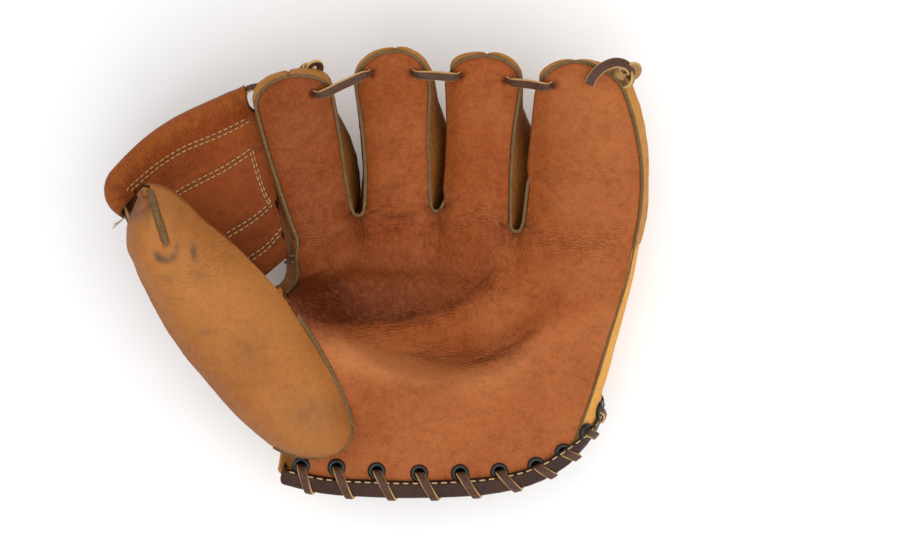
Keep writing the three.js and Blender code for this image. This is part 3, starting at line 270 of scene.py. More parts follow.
class Stall:
    """A finger or thumb stall: a front panel and a back that meet at two side seams."""

    def __init__(self, base, length, lean, bow, widths, left_heights, right_heights, curl, crown, depths,
                 tip_round, base_round, bulge, slant=0.0, trims=(0, 0), tip_depth=1.0, tip_shift=0.0):
        lean = np.radians(lean)
        self.base = vec(base[0], base[1], 0)
        self.length, self.bow, self.slant = length, bow, slant
        self.trims = [np.zeros(len(TRIM_SHARES)) + trim for trim in trims]
        self.tip_depth, self.tip_shift = tip_depth, tip_shift
        self.run = vec(np.sin(lean), np.cos(lean), 0)
        self.across = vec(np.cos(lean), -np.sin(lean), 0)
        self.halves = [w / 2 for w in widths]
        self.left_heights, self.right_heights, self.curl = left_heights, right_heights, curl
        self.crown, self.depths, self.bulge = crown, depths, bulge
        self.tip_from = 1 - tip_round / length
        self.base_to = base_round / length

    def rounding(self, s):
        s = np.asarray(s, float)
        tip = np.sqrt(np.maximum(0, 1 - ((s - self.tip_from) / (1 - self.tip_from)) ** 2))
        result = np.where(s > self.tip_from, tip, 1.0)
        if self.base_to:
            base = np.sqrt(np.maximum(0, 1 - ((self.base_to - s) / self.base_to) ** 2))
            result = np.where(s < self.base_to, base, result)
        return result

    def half(self, s):
        a, b, c = self.halves
        return self.rounding(s) * (a * (1 - s) * (1 - 2 * s) + b * 4 * s * (1 - s) + c * s * (2 * s - 1))

    def depth(self, s):
        narrowing = mix(1, self.tip_depth, smooth(s, TIP_NARROWS_FROM, 1))
        return self.rounding(s) * mix(self.depths[0], self.depths[1], s) * narrowing

    def rise(self, heights, s):
        return mix(heights[0], heights[1], s * (1 - self.curl + self.curl * s))

    def edge(self, s, side, heights):
        s = np.asarray(s, float)
        forward = self.length * s + side * self.slant * (1 - s)
        trim = np.interp(s, TRIM_SHARES, self.trims[0 if side < 0 else 1]) * self.rounding(s)
        bend = self.bow * 4 * s * (1 - s) + self.tip_shift * smooth(s, TIP_SHIFTS_FROM, 1)
        sideways = side * (self.half(s) + trim) + bend
        p = self.base + forward[..., None] * self.run + sideways[..., None] * self.across
        return p + self.rise(heights, s)[..., None] * UP

    def left(self, s):
        return self.edge(s, -1, self.left_heights)

    def right(self, s):
        return self.edge(s, 1, self.right_heights)

    def middle(self, s):
        return (self.left(s) + self.right(s)) / 2

    def normal(self, s):
        s = np.asarray(s, float)
        tilt = self.rise(self.right_heights, s) - self.rise(self.left_heights, s)
        lateral = unit((self.halves[0] + self.halves[1]) * self.across + tilt[..., None] * UP)
        (left_base, left_tip), (right_base, right_tip) = self.left_heights, self.right_heights
        climb = (left_tip + right_tip - left_base - right_base) / 2
        slope = climb * (1 - self.curl + 2 * self.curl * s) / self.length
        return unit(np.cross(lateral, self.run + slope[..., None] * UP))

    def front(self, s, v, reach=1.0):
        s, v = paired(s, v)
        swell = self.rounding(s) * self.crown * (1 - np.abs(v) ** CROWN_POWER)
        sideways = (self.right(s) - self.left(s)) / 2 * (v * reach)[..., None]
        return self.middle(s) + sideways + swell[..., None] * self.normal(s)

    def back(self, s, angle):
        s, angle = paired(s, angle)
        bulge = self.rounding(s) * self.bulge * np.sin(2 * np.minimum(angle, np.pi - angle))
        reach = 1 + bulge / np.maximum(self.half(s), 0.1)
        sideways = signed_power(np.cos(angle), BACK_SIDE_POWER) * reach
        drop = self.depth(s) * np.maximum(np.sin(angle), 0) ** BACK_DROP_POWER
        across = (self.right(s) - self.left(s)) * (sideways / 2)[..., None]
        return self.middle(s) + across - drop[..., None] * self.normal(s)


corners = [vec(BASE_LEFT_X + sum(FINGER_BASES[:i]), y, z) for i, (y, z) in enumerate(zip(CROTCH_Y, CROTCH_Z))]


def finger_stall(i):
    span = corners[i + 1] - corners[i]
    centre = (corners[i] + corners[i + 1]) / 2
    lean = np.radians(FINGER_LEANS[i])
    width = span[0] * np.cos(lean) - span[1] * np.sin(lean)
    narrowed = 1 - CROTCH_GAP / width
    return Stall(
        base=centre[:2], length=FINGER_LENGTHS[i], lean=FINGER_LEANS[i], bow=FINGER_BOWS[i],
        widths=[width * narrowed, FINGER_MIDDLES[i], FINGER_TIPS[i]],
        left_heights=[corners[i][2], FINGER_TOPS[i]], right_heights=[corners[i + 1][2], FINGER_TOPS[i]],
        curl=FINGER_CURL, crown=FINGER_CROWN, depths=[centre[2] - FINGER_BACK_HEIGHT, FINGER_DEPTHS[i]],
        tip_round=FINGER_ROUNDS[i], base_round=0, bulge=FINGER_BULGE,
        slant=(span[0] * np.sin(lean) + span[1] * np.cos(lean)) * narrowed / 2, trims=FINGER_TRIMS[i],
        tip_depth=FINGER_TIP_DEPTHS[i],
    )


fingers = [finger_stall(i) for i in range(len(FINGER_NAMES))]
index_finger, little_finger = fingers[0], fingers[-1]
thumb = Stall(**THUMB)
corners[0] = corners[0] + vec(INDEX_CORNER, 0, 0)


def tip_rows(stall, start, straight, tip):
    """Stations along a stall, closer together round its tip."""
    body = np.linspace(start, stall.tip_from, straight)
    angles = np.linspace(0, np.pi / 2, tip + 1)[1:]
    return np.concatenate([body, mix(stall.tip_from, TIP_END, np.sin(angles))])


def thumb_rows(straight, ends):
    angles = np.linspace(0, np.pi / 2, ends + 1)
    base = thumb.base_to * (1 - np.cos(angles))
    base[0] = BASE_START
    return np.concatenate([base[:-1], tip_rows(thumb, thumb.base_to, straight, ends)])


# Palm

heel_curve = Spline(HEEL_EDGE)
little_curve = Spline([HEEL_RIGHT, *LITTLE_EDGE, corners[4]])


def beside_thumb(s):
    """A place on the palm's edge beside the thumb's seam."""
    step = 0.004
    run = thumb.right(s + step) - thumb.right(s - step)
    seam = thumb.right(s)
    p = seam + unit(vec(run[1], -run[0], 0)) * mix(*PALM_SEAM_OFFSETS, smooth(s, 0.05, 0.22))
    p[2] = mix(PALM_SEAM_HEIGHT, seam[2] - 0.5, smooth(s, 0, 0.12))
    return p


thumb_crotch = thumb.right(THUMB_SEAM_SHARE)
thumb_crotch[2] = CROTCH_HEIGHT
thumb_crotch = (thumb_crotch + corners[0]) / 2 + CROTCH_SHIFT
thumb_curve = Spline([HEEL_LEFT, *[beside_thumb(s) for s in PALM_SEAM_SHARES], thumb_crotch, corners[0]])


def finger_place(u):
    place = np.clip(np.minimum(u, 0.9999) * len(fingers), 0, None)
    i = place.astype(int)
    return i, place - i


def heel_roll(p):
    """How much of the padded heel roll there is at a place."""
    x, y = p[..., 0], p[..., 1]
    ahead = y - HEEL_RIDGE["y"] - HEEL_RIDGE["bend"] * (x - HEEL_RIDGE["x"]) ** 2
    steepness = np.where(ahead > 0, HEEL_RIDGE["front"], HEEL_RIDGE["back"])
    return bell(ahead / steepness) * bell((x - HEEL_RIDGE["x"]) / HEEL_RIDGE["reach"])


def palm(u, v):
    """Palm leather: u from the thumb side to the little finger side, v from the heel to the fingers."""
    u, v = paired(np.clip(u, 0, 1), np.clip(v, 0, 1))
    i, t = finger_place(u)
    grid = np.array(corners)
    runs = np.array([f.run for f in fingers])
    normals = np.array([f.normal(0.0) for f in fingers])
    top = mix(grid[i], grid[i + 1], t[..., None]) - 2 * SEAM_GAP * runs[i]
    a, b = u[..., None], v[..., None]
    p = heel_curve.along(u) * (1 - b) + top * b + thumb_curve.along(v) * (1 - a) + little_curve.along(v) * a
    p = p - vec(*HEEL_LEFT) * (1 - a) * (1 - b) - vec(*HEEL_RIGHT) * a * (1 - b)
    p = p - corners[0] * (1 - a) * b - corners[4] * a * b
    inside = smooth(u, 0, 0.18) * smooth(1 - u, 0, 0.2) * smooth(v, 0.04, 0.2) * smooth(1 - v, 0, 0.25)
    pocket = bump_at(p[..., 0], p[..., 1], (POCKET["x"], POCKET["y"]), POCKET["rx"], POCKET["ry"])
    p[..., 2] += inside * (HEEL_SWELL * heel_roll(p) - POCKET_DEPTH * pocket)
    crown = FINGER_CROWN * (1 - np.abs(2 * t - 1) ** CROWN_POWER) * smooth(v, 0.72, 1)
    return p + crown[..., None] * normals[i]


def pad_thickness(u, v):
    ends = smooth(u, 0.05, 0.3) * smooth(1 - u, 0.05, 0.3) * smooth(v, 0.1, 0.25) * smooth(1 - v, 0.35, 0.5)
    return PAD_EDGE + PAD_SWELL * heel_roll(palm(u, v)) * ends


def base_tilt(finger):
    n = finger.normal(0.0)
    return -n[1] / n[2]


def little_side(v, t):
    """Side leather, round to the back: v as on the palm, t from the seam to the back."""
    v, t = paired(v, t)
    p = little_curve.along(v)
    drop = p[..., 2] - mix(WRIST_HEIGHT, 1, smooth(v, 0, 0.8))
    angle = mix(0.2 / drop, np.pi / 2, t**1.4)
    fall = drop * np.sin(angle)
    reach = SIDE_REACH + SIDE_BULGE * np.sin(2 * angle)
    recede = 1 - np.exp(-fall / WRIST_FALL)
    forward = WRIST_SLOPE * (1 - v) ** 2 * mix(1 - np.cos(angle), recede, 0.7) - SEAM_INSET * v
    forward = forward + smooth(v, 0.3, 1) * base_tilt(little_finger) * fall
    forward = forward + SIDE_CORNER * (1 - v) * bell(t / 0.08)
    sideways = SIDE_OFFSET + reach * np.maximum(np.cos(angle), 0) ** ROUND_POWER - SIDE_REACH
    strip = np.interp(v, SIDE_SHARES_V, SIDE_STRIP)
    shoulder = 1 - np.exp(-fall / (SIDE_SHOULDER + 0.35 * np.maximum(strip, 0)))
    return p + np.stack([mix(SIDE_START, sideways + strip, shoulder), forward, -fall], -1)


def gusset(v, t):
    """Leather between the thumb and the index finger: v towards the index finger, t from the palm down."""
    v, t = paired(v, t)
    p = thumb_curve.along(mix(GUSSET["from"], 1, v)) - vec(1.2, 0, 0.3)
    drop = p[..., 2] - BACK_LAP
    angle = mix(0.3 / drop, np.pi / 2, t)
    width = mix(GUSSET["wide"], GUSSET["narrow"], smooth(v, 0.5, 0.85))
    reach = GUSSET["depth"] + (width - GUSSET["depth"]) * np.sin(2 * angle)
    sideways = GUSSET["depth"] - reach * np.maximum(np.cos(angle), 0) ** ROUND_POWER
    ahead = GUSSET["ahead"] * smooth(v, 0.75, 1) - 2 * SEAM_INSET * v
    return p + np.stack([sideways, ahead, -drop * np.sin(angle)], -1)


def back_right(y):
    edge = little_side(shares(13), 1.0)
    return np.interp(y, edge[:, 1], edge[:, 0]) - 3 * SEAM_GAP


def knuckle_line(x):
    grid = np.array(corners)
    i = np.clip(np.searchsorted(grid[:, 0], x, side="right"), 1, len(fingers))
    a, b = grid[i - 1], grid[i]
    t = (x - a[..., 0]) / (b[..., 0] - a[..., 0])
    tilts = np.array([base_tilt(f) for f in fingers])
    height = mix(a[..., 2], b[..., 2], t) - FINGER_BACK_HEIGHT
    return mix(a[..., 1], b[..., 1], t) + tilts[i - 1] * height - BACK["knuckle_gap"]


def hand_back(share, r):
    share, r = paired(share, r)
    x = mix(BACK["left"], back_right(mix(BACK["wrist"], BACK["knuckle"], r)), share)
    y = mix(BACK["wrist"], knuckle_line(x), r)
    turn = np.maximum(0, (BACK["flat_from"] - y) / (BACK["flat_from"] - BACK["wrist"]))
    return np.stack([x, y, BACK["rise"] * turn**2], -1)


ear_line = Spline([
    (0, BACK["wrist"] - 2 * SEAM_GAP, EAR["height"]), *[(0, y, z) for y, z in EAR_COURSE],
    (0, HEEL_LEFT[1] + 1, HEEL_LEFT[2] - SHELL - 2 * SEAM_GAP),
])


def ear(t, share):
    t, share = paired(t, share)
    narrowing = smooth(t, 0.4, 0.9)
    left = mix(EAR["left"], EAR["top_left"], narrowing)
    right = mix(EAR["right"], EAR["top_right"], narrowing)
    return ear_line.at(t) + mix(left, right, share)[..., None] * vec(1, 0, 0)


# Wrist edge: frames along it, with the leather edge, the way into the leather and the outer normal


def turned_to(n, facing):
    """Normals, turned to the side that they should face."""
    return np.where(np.sum(n * facing, -1, keepdims=True) < 0, -n, n)


def surface_normal(surface, a, b, facing):
    step = 1e-3
    n = np.cross(surface(a + step, b) - surface(a - step, b), surface(a, b + step) - surface(a, b - step))
    return turned_to(unit(n), facing)


def edge_frames(edge, at, into, normal):
    run = unit(edge(at + 0.01) - edge(at - 0.01))
    inward = turned_to(unit(np.cross(normal, run)), into - edge(at))
    return np.stack([edge(at) - normal * SHELL / 2, inward, normal], 1)


def wrist_frames():
    u = np.linspace(0.045, 0.993, PALM_FRAMES)
    palm_normal = surface_normal(palm, np.clip(u, 0.01, 0.99), 0.03, UP)
    palm_part = edge_frames(lambda a: palm(a, 0), u, palm(u, 0.05), palm_normal)
    t = np.linspace(0.12, 0.62, SIDE_FRAMES)
    out = little_side(0, t) - (little_curve.along(0) + SIDE_MIDDLE)
    side_normal = surface_normal(little_side, 0.02, t, out)
    side_part = edge_frames(lambda a: little_side(0, a), t, little_side(0.05, t), side_normal)
    corner = (palm_part[-1:] + side_part[:1]) / 2
    return np.concatenate([palm_part, corner, side_part])


frames = wrist_frames()


def frame_at(place):
    place = np.asarray(place, float)
    i = np.clip(np.floor(place).astype(int), 0, len(frames) - 2)
    f = mix(frames[i], frames[i + 1], (place - i)[..., None, None])
    return f[..., 0, :], unit(f[..., 1, :]), unit(f[..., 2, :])


def inset_at(place):
    return np.interp(place, EYELET_PLACES, EYELET_INSETS)


def eyelet_centre(place):
    at, inward, normal = frame_at(place)
    return at + inward * inset_at(place)[..., None] + normal * SHELL / 2


binding_outer = SHELL / 2 + BINDING["clearance"] + BINDING["thickness"]
loop_height = binding_outer + LACE["thickness"] / 2

# Mesh making

TINTS = ("shade", "wear", "smudge", "crease", "phase")


def placed(points):
    """From millimetres of the drawing to metres of the glove's frame."""
    return (np.asarray(points, float) + CENTRING) / 1000


def add_object(name, data):
    obj = bpy.data.objects.new(name, data)
    bpy.context.scene.collection.objects.link(obj)
    return obj


def make(name, points_and_faces, material, body, replaces=(), blend=None, **tints):
    """A smooth mesh whose rest places and tints are stored for its material."""
    points, faces = points_and_faces
    points = np.asarray(points, float).reshape(-1, 3)
    mesh = bpy.data.meshes.new(name)
    mesh.from_pydata(placed(points).tolist(), [], [list(f) for f in faces])
    mesh.update()
    rest = mesh.attributes.new("rest", "FLOAT_VECTOR", "POINT")
    rest.data.foreach_set("vector", points.astype(np.float32).ravel())
    for tint, values in tints.items():
        layer = mesh.attributes.new(tint, "FLOAT", "POINT")
        values = np.broadcast_to(np.ravel(values), len(points))
        values = values if tint == "phase" else np.clip(values, 0, 1)
        layer.data.foreach_set("value", values.astype(np.float32))
    mesh.polygons.foreach_set("use_smooth", np.ones(len(mesh.polygons), bool))
    mesh.materials.append(material)
    obj = add_object(name, mesh)
    if blend:
        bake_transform(obj)
    else:
        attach(obj, body)
    if replaces:
        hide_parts(*replaces)
    return obj


def grid_faces(rows, columns, start=0, wrap=False):
    i, j = np.meshgrid(np.arange(rows - 1), np.arange(columns if wrap else columns - 1), indexing="ij")
    a, b = i * columns + j, i * columns + (j + 1) % columns
    return (np.stack([a, b, b + columns, a + columns], -1).reshape(-1, 4) + start).tolist()


def grid_rim(rows, columns):
    """Numbers of the points round the rim of a grid, in order."""
    ids = np.arange(rows * columns).reshape(rows, columns)
    return np.concatenate([ids[0], ids[1:, -1], ids[-1, -2::-1], ids[-2:0:-1, 0]]).tolist()


def volume(points, faces):
    total = 0.0
    for f in faces:
        for k in range(1, len(f) - 1):
            total += np.dot(points[f[0]], np.cross(points[f[k]], points[f[k + 1]]))
    return total


def outward(points, faces):
    """The same faces, turned so that a closed mesh faces out."""
    return [f[::-1] for f in faces] if volume(points, faces) < 0 else faces


def padded_edges(grid, normals, thickness, rounding):
    """A closed sheet with rounded rims: its outer face is the grid."""
    rows, columns = grid.shape[:2]
    inner = grid - normals * thickness
    rim = grid_rim(rows, columns)
    size = rows * columns
    middle = []
    for i, j in (divmod(k, columns) for k in rim):
        nearer = grid[min(max(i, 1), rows - 2), min(max(j, 1), columns - 2)]
        out = grid[i, j] - nearer
        out = unit(out - normals[i, j] * np.dot(out, normals[i, j]))
        middle.append((grid[i, j] + inner[i, j]) / 2 + out * thickness * rounding)
    points = np.concatenate([grid.reshape(-1, 3), inner.reshape(-1, 3), np.array(middle)])
    faces = grid_faces(rows, columns) + [f[::-1] for f in grid_faces(rows, columns, size)]
    for k, a in enumerate(rim):
        n = (k + 1) % len(rim)
        b, m, o = rim[n], 2 * size + k, 2 * size + n
        faces += [[b, a, m, o], [o, m, size + a, size + b]]
    return points, outward(points, faces), rim


def sheet_piece(name, grid, facing, material, body, thickness=LEATHER, relief=None, rounding=0.45, **rest):
    """A leather sheet over a grid, with relief along its normals."""
    n = unit(np.cross(np.gradient(grid, axis=0), np.gradient(grid, axis=1)))
    normals = turned_to(n, facing)
    if relief is not None:
        grid = grid + normals * relief[..., None]
    points, faces, rim = padded_edges(grid, normals, thickness, rounding)
    tints = {}
    for key in TINTS:
        if key in rest:
            values = np.ravel(np.broadcast_to(rest.pop(key), grid.shape[:2]))
            tints[key] = np.concatenate([values, values, values[rim]])
    return make(name, (points, faces), material, body, **rest, **tints)


def ring_sweep(rings):
    """A tube over rings of equal count, with its ends closed."""
    rings = np.asarray(rings)
    rows, columns = rings.shape[:2]
    points = np.concatenate([rings.reshape(-1, 3), rings[:1].mean(1), rings[-1:].mean(1)])
    faces = grid_faces(rows, columns, wrap=True)
    for end, first in ((rows * columns, 0), (rows * columns + 1, (rows - 1) * columns)):
        for j in range(columns):
            a, b = first + j, first + (j + 1) % columns
            faces.append([end, b, a] if first == 0 else [end, a, b])
    return points, outward(points, faces)


def section_sweep(path, up, section, scale=1.0):
    """A section along a path: its pairs run across the path and up."""
    run = unit(np.gradient(path, axis=0))
    across = unit(np.cross(run, up))
    top = unit(np.cross(across, run))
    scale = np.broadcast_to(scale, len(path))[:, None, None]
    offsets = section[None, :, :1] * across[:, None] + section[None, :, 1:] * top[:, None]
    return ring_sweep(path[:, None] + scale * offsets)


def round_section(width, height, sides, power=1.0):
    a = np.linspace(0, 2 * np.pi, sides, endpoint=False)
    across, up = signed_power(np.cos(a), power), signed_power(np.sin(a), power)
    return np.stack([across * width / 2, up * height / 2], -1)


def parallel_up(path, first):
    """A direction across the path that turns as little as possible along it."""
    run = unit(np.gradient(path, axis=0))
    ups = [unit(first - run[0] * np.dot(first, run[0]))]
    for r in run[1:]:
        ups.append(unit(ups[-1] - r * np.dot(ups[-1], r)))
    return np.array(ups)


def joined(parts):
    """Several point and face lists as one."""
    points, faces, start = [], [], 0
    for p, f in parts:
        points.append(p)
        faces += [[i + start for i in face] for face in f]
        start += len(p)
    return np.concatenate(points), faces


def roughened(points_and_faces, strength, size, direction=None):
    """The same mesh with uneven fibres, away from its middle or in one direction."""
    points, faces = points_and_faces
    way = unit(points - points.mean(0)) if direction is None else direction
    return points + strength * folds(points, size)[:, None] * way, faces


STITCH_LIFT = np.array([-1.0, 0.3, 0.75, 0.75, 0.3, -1.0])  # of a thread along one stitch, in its radius


def stitches(path, normals, pitch, length, radius):
    """A row of stitches along a path, each a small round-ended thread that lies on the leather."""
    runs = run_lengths(path)
    parts = []
    section = round_section(2 * radius, 2 * radius, 6)
    for start in np.arange(pitch / 2, runs[-1] - length / 2, pitch):
        at = np.linspace(start - length / 2, start + length / 2, len(STITCH_LIFT))
        up = unit(read_at(at, runs, normals))
        line = read_at(at, runs, path) + up * (STITCH_LIFT * radius)[:, None]
        parts.append(section_sweep(line, up, section))
    return parts


# Materials

SMUDGE_COLOUR = "37312f"


class Nodes:
    """Short calls for the nodes of one material."""

    def __init__(self, name):
        self.material = bpy.data.materials.new(name)
        self.material.use_nodes = True
        self.tree = self.material.node_tree
        self.shader = self.tree.nodes["Principled BSDF"]

    def add(self, kind, **values):
        node = self.tree.nodes.new(kind)
        for key, value in values.items():
            setattr(node, key, value)
        return node

    def put(self, socket, value):
        if isinstance(value, (int, float, tuple)):
            socket.default_value = value
        else:
            self.tree.links.new(value, socket)

    def put_all(self, node, **values):
        for key, value in values.items():
            self.put(node.inputs[key.replace("_", " ")], value)

    def set(self, **values):
        self.put_all(self.shader, **values)

    def rest(self):
        return self.add("ShaderNodeAttribute", attribute_name="rest").outputs["Vector"]

    def tint(self, name):
        return self.add("ShaderNodeAttribute", attribute_name=name).outputs["Fac"]

    def math(self, operation, a, b=0.0):
        node = self.add("ShaderNodeMath", operation=operation)
        self.put(node.inputs[0], a)
        self.put(node.inputs[1], b)
        return node.outputs[0]

    def times(self, a, b):
        return self.math("MULTIPLY", a, b)

    def plus(self, a, b):
        return self.math("ADD", a, b)

    def stretched(self, vector, scale):
        node = self.add("ShaderNodeMapping")
        self.put_all(node, Vector=vector, Scale=scale)
        return node.outputs["Vector"]

    def noise(self, vector, scale, detail=3.0, roughness=0.55):
        node = self.add("ShaderNodeTexNoise")
        self.put_all(node, Vector=vector, Scale=scale, Detail=detail, Roughness=roughness)
        return node.outputs["Fac"]

    def cells(self, vector, scale):
        node = self.add("ShaderNodeTexVoronoi", feature="DISTANCE_TO_EDGE")
        self.put_all(node, Vector=vector, Scale=scale)
        return node.outputs["Distance"]

    def ramp(self, value, low, high, to_low=0.0, to_high=1.0):
        node = self.add("ShaderNodeMapRange", clamp=True)
        self.put_all(node, Value=value, From_Min=low, From_Max=high, To_Min=to_low, To_Max=to_high)
        return node.outputs["Result"]

    def blend(self, factor, a, b):
        node = self.add("ShaderNodeMix", data_type="RGBA")
        self.put_all(node, Factor=factor, A=a, B=b)
        return node.outputs["Result"]

    def bump(self, height, distance):
        node = self.add("ShaderNodeBump")
        self.put_all(node, Distance=distance, Strength=1.0, Height=height)
        self.set(Normal=node.outputs["Normal"])


def colour(text):
    """A linear colour from a hexadecimal one."""
    parts = [int(text[i:i + 2], 16) / 255 for i in (0, 2, 4)]
    return (*[c / 12.92 if c <= 0.04045 else ((c + 0.055) / 1.055) ** 2.4 for c in parts], 1.0)


def leather(name, base, deep, worn, roughness=0.55, creases=0.5, mottle=0.3, shine=0.22, wander=20.0,
            smudged=False):
    """Oiled hide: mottled colour, fine grain, wrinkles with painted shade in their troughs, painted shade in
    hollows and gaps, and paler places, partly worn and partly painted highlights.
    """
    n = Nodes(name)
    deep, worn = colour(deep), colour(worn)
    at = n.rest()
    broad = n.noise(at, 0.035, 4.0)
    medium = n.noise(at, 0.2, 5.0, 0.65)
    fine = n.noise(at, 1.9, 4.0, 0.7)
    streaks = n.noise(n.stretched(at, (1.0, 0.8, 1.0)), 0.6, 5.0, 0.7)
    pores = n.cells(at, 1.25)
    net = n.cells(n.stretched(at, (1.0, 1.6, 1.0)), 0.3)
    cracks = n.times(n.ramp(net, 0.0, 0.05, 1.0, 0.0), n.ramp(medium, 0.48, 0.62))
    turns = n.plus(n.times(n.tint("phase"), 4.2), n.times(n.noise(at, 0.14), wander))
    lines = n.ramp(n.math("SINE", turns), -1.0, 0.2, 1.0, 0.0)
    breaks = n.ramp(n.noise(at, 0.3), 0.34, 0.52)
    wrinkle = n.times(n.times(n.tint("crease"), breaks), lines)
    layers = [  # how much of a colour lies over those before it
        (n.ramp(broad, 0.38, 0.66, 0.0, mottle), worn),
        (n.ramp(medium, 0.45, 0.8, 0.0, mottle), deep),
        # paler tint: worn places, and painted highlights on crests and on the middles of rounded faces
        (n.times(n.tint("wear"), 0.9), worn),
        # darker tint: painted shade in hollows, folds, crotches and holes, with some plain darker tone
        (n.times(n.tint("shade"), 0.9), deep),
        (n.times(cracks, 0.4 * creases), deep),
        # painted shade in the troughs of the wrinkles
        (n.times(wrinkle, 0.33), deep),
        (n.ramp(streaks, 0.5, 0.78, 0.0, 0.3), deep),
        (n.ramp(streaks, 0.5, 0.28, 0.0, 0.22), worn),
        (n.ramp(fine, 0.5, 0.75, 0.0, 0.2), deep),
    ]
    if smudged:
        layers.append((n.tint("smudge"), colour(SMUDGE_COLOUR)))
    tone = colour(base)
    for share, over in layers:
        tone = n.blend(share, tone, over)
    dullness = n.ramp(medium, 0.3, 0.7, roughness - 0.06, roughness + 0.08)
    n.set(Base_Color=tone, Roughness=dullness, Specular_IOR_Level=shine)
    height = n.times(n.ramp(pores, 0.0, 0.3), 0.18)
    reliefs = [(fine, 0.3), (streaks, 0.22), (medium, 0.5 * creases), (cracks, -0.45 * creases),
               (wrinkle, -0.95)]
    for part, strength in reliefs:
        height = n.plus(height, n.times(part, strength))
    n.bump(height, 0.00035)
    return n.material


def fibre(name, base, deep, roughness=0.9, scale=2.2):
    """Raw leather edges, felt or thread: matt and fibrous."""
    n = Nodes(name)
    at = n.rest()
    strands = n.noise(at, scale, 4.0, 0.7)
    tone = n.blend(n.ramp(strands, 0.35, 0.65), colour(deep), colour(base))
    tone = n.blend(n.ramp(n.noise(at, 0.25), 0.5, 0.75, 0.0, 0.5), tone, colour(deep))
    n.set(Base_Color=tone, Roughness=roughness, Specular_IOR_Level=0.2)
    n.bump(strands, 0.0004)
    return n.material


def thong(name, face, worn, edge):
    """Lace cut from hide: dyed faces and pale cut edges."""
    n = Nodes(name)
    at = n.rest()
    streaks = n.noise(at, 0.8, 4.0, 0.7)
    fine = n.noise(at, 3.0)
    tone = n.blend(n.ramp(streaks, 0.4, 0.75, 0.0, 0.6), colour(face), colour(worn))
    side = n.times(n.tint("wear"), n.ramp(fine, 0.2, 0.5, 0.7, 1.0))
    tone = n.blend(side, tone, colour(edge))
    n.set(Base_Color=tone, Roughness=n.ramp(streaks, 0.3, 0.7, 0.42, 0.6), Specular_IOR_Level=0.3)
    n.bump(n.plus(streaks, fine), 0.0002)
    return n.material


def enamel(name, base, rubbed):
    """Black enamel over metal, rubbed on its rims."""
    n = Nodes(name)
    scratches = n.noise(n.rest(), 2.5, 4.0, 0.7)
    tone = n.blend(n.ramp(scratches, 0.6, 0.72, 0.0, 0.7), colour(base), colour(rubbed))
    n.set(Base_Color=tone, Roughness=n.ramp(scratches, 0.3, 0.7, 0.16, 0.34), Metallic=0.35)
    n.bump(scratches, 0.00006)
    return n.material


palm_leather = leather("palm_leather", "93491e", "421506", "b56f40", roughness=0.52, shine=0.1, wander=26.0)
thumb_leather = leather("thumb_leather", "935423", "562c0f", "ad6f36", roughness=0.6, creases=0.35,
                        mottle=0.42, shine=0.18, smudged=True)
back_leather = leather("back_leather", "c4853a", "743f15", "d59d52", roughness=0.72, creases=0.3, shine=0.12)
web_leather = leather("web_leather", "873f18", "3f1405", "9f5720", roughness=0.5, creases=0.4, shine=0.1,
                      wander=7.0)
binding_leather = leather("binding_leather", "321b12", "160b07", "472c1f", roughness=0.4, creases=0.25,
                          shine=0.2)
lining_leather = leather("lining_leather", "b98c58", "7d5a34", "cda878", roughness=0.75, creases=0.2)
welt_leather = fibre("welt_leather", "8a6e4a", "46351f")
felt = fibre("felt", "d8cdb8", "b5a88e", 0.95, 1.2)
thread = fibre("thread", "d9c294", "a98d5c", 0.8, 4.0)
lace_leather = thong("lace_leather", "42281c", "6b4733", "c79c5c")
black_enamel = enamel("black_enamel", "141415", "4a4440")

# Pieces that lie on two bodies: the second body and two places that mark where they pass to it; make only
# bakes these pieces in place
FINGER_BLEND = ("fingers", vec(0, 0.6, 61), vec(0, 45.6, 61))
THUMB_BLEND = ("thumb", thumb.middle(0.0), thumb.middle(0.3))
THUMB_SIDE_BLEND = ("thumb", vec(-40, -30, 8), vec(-48, -30, 52))

# Palm leather and the four finger fronts, one hide

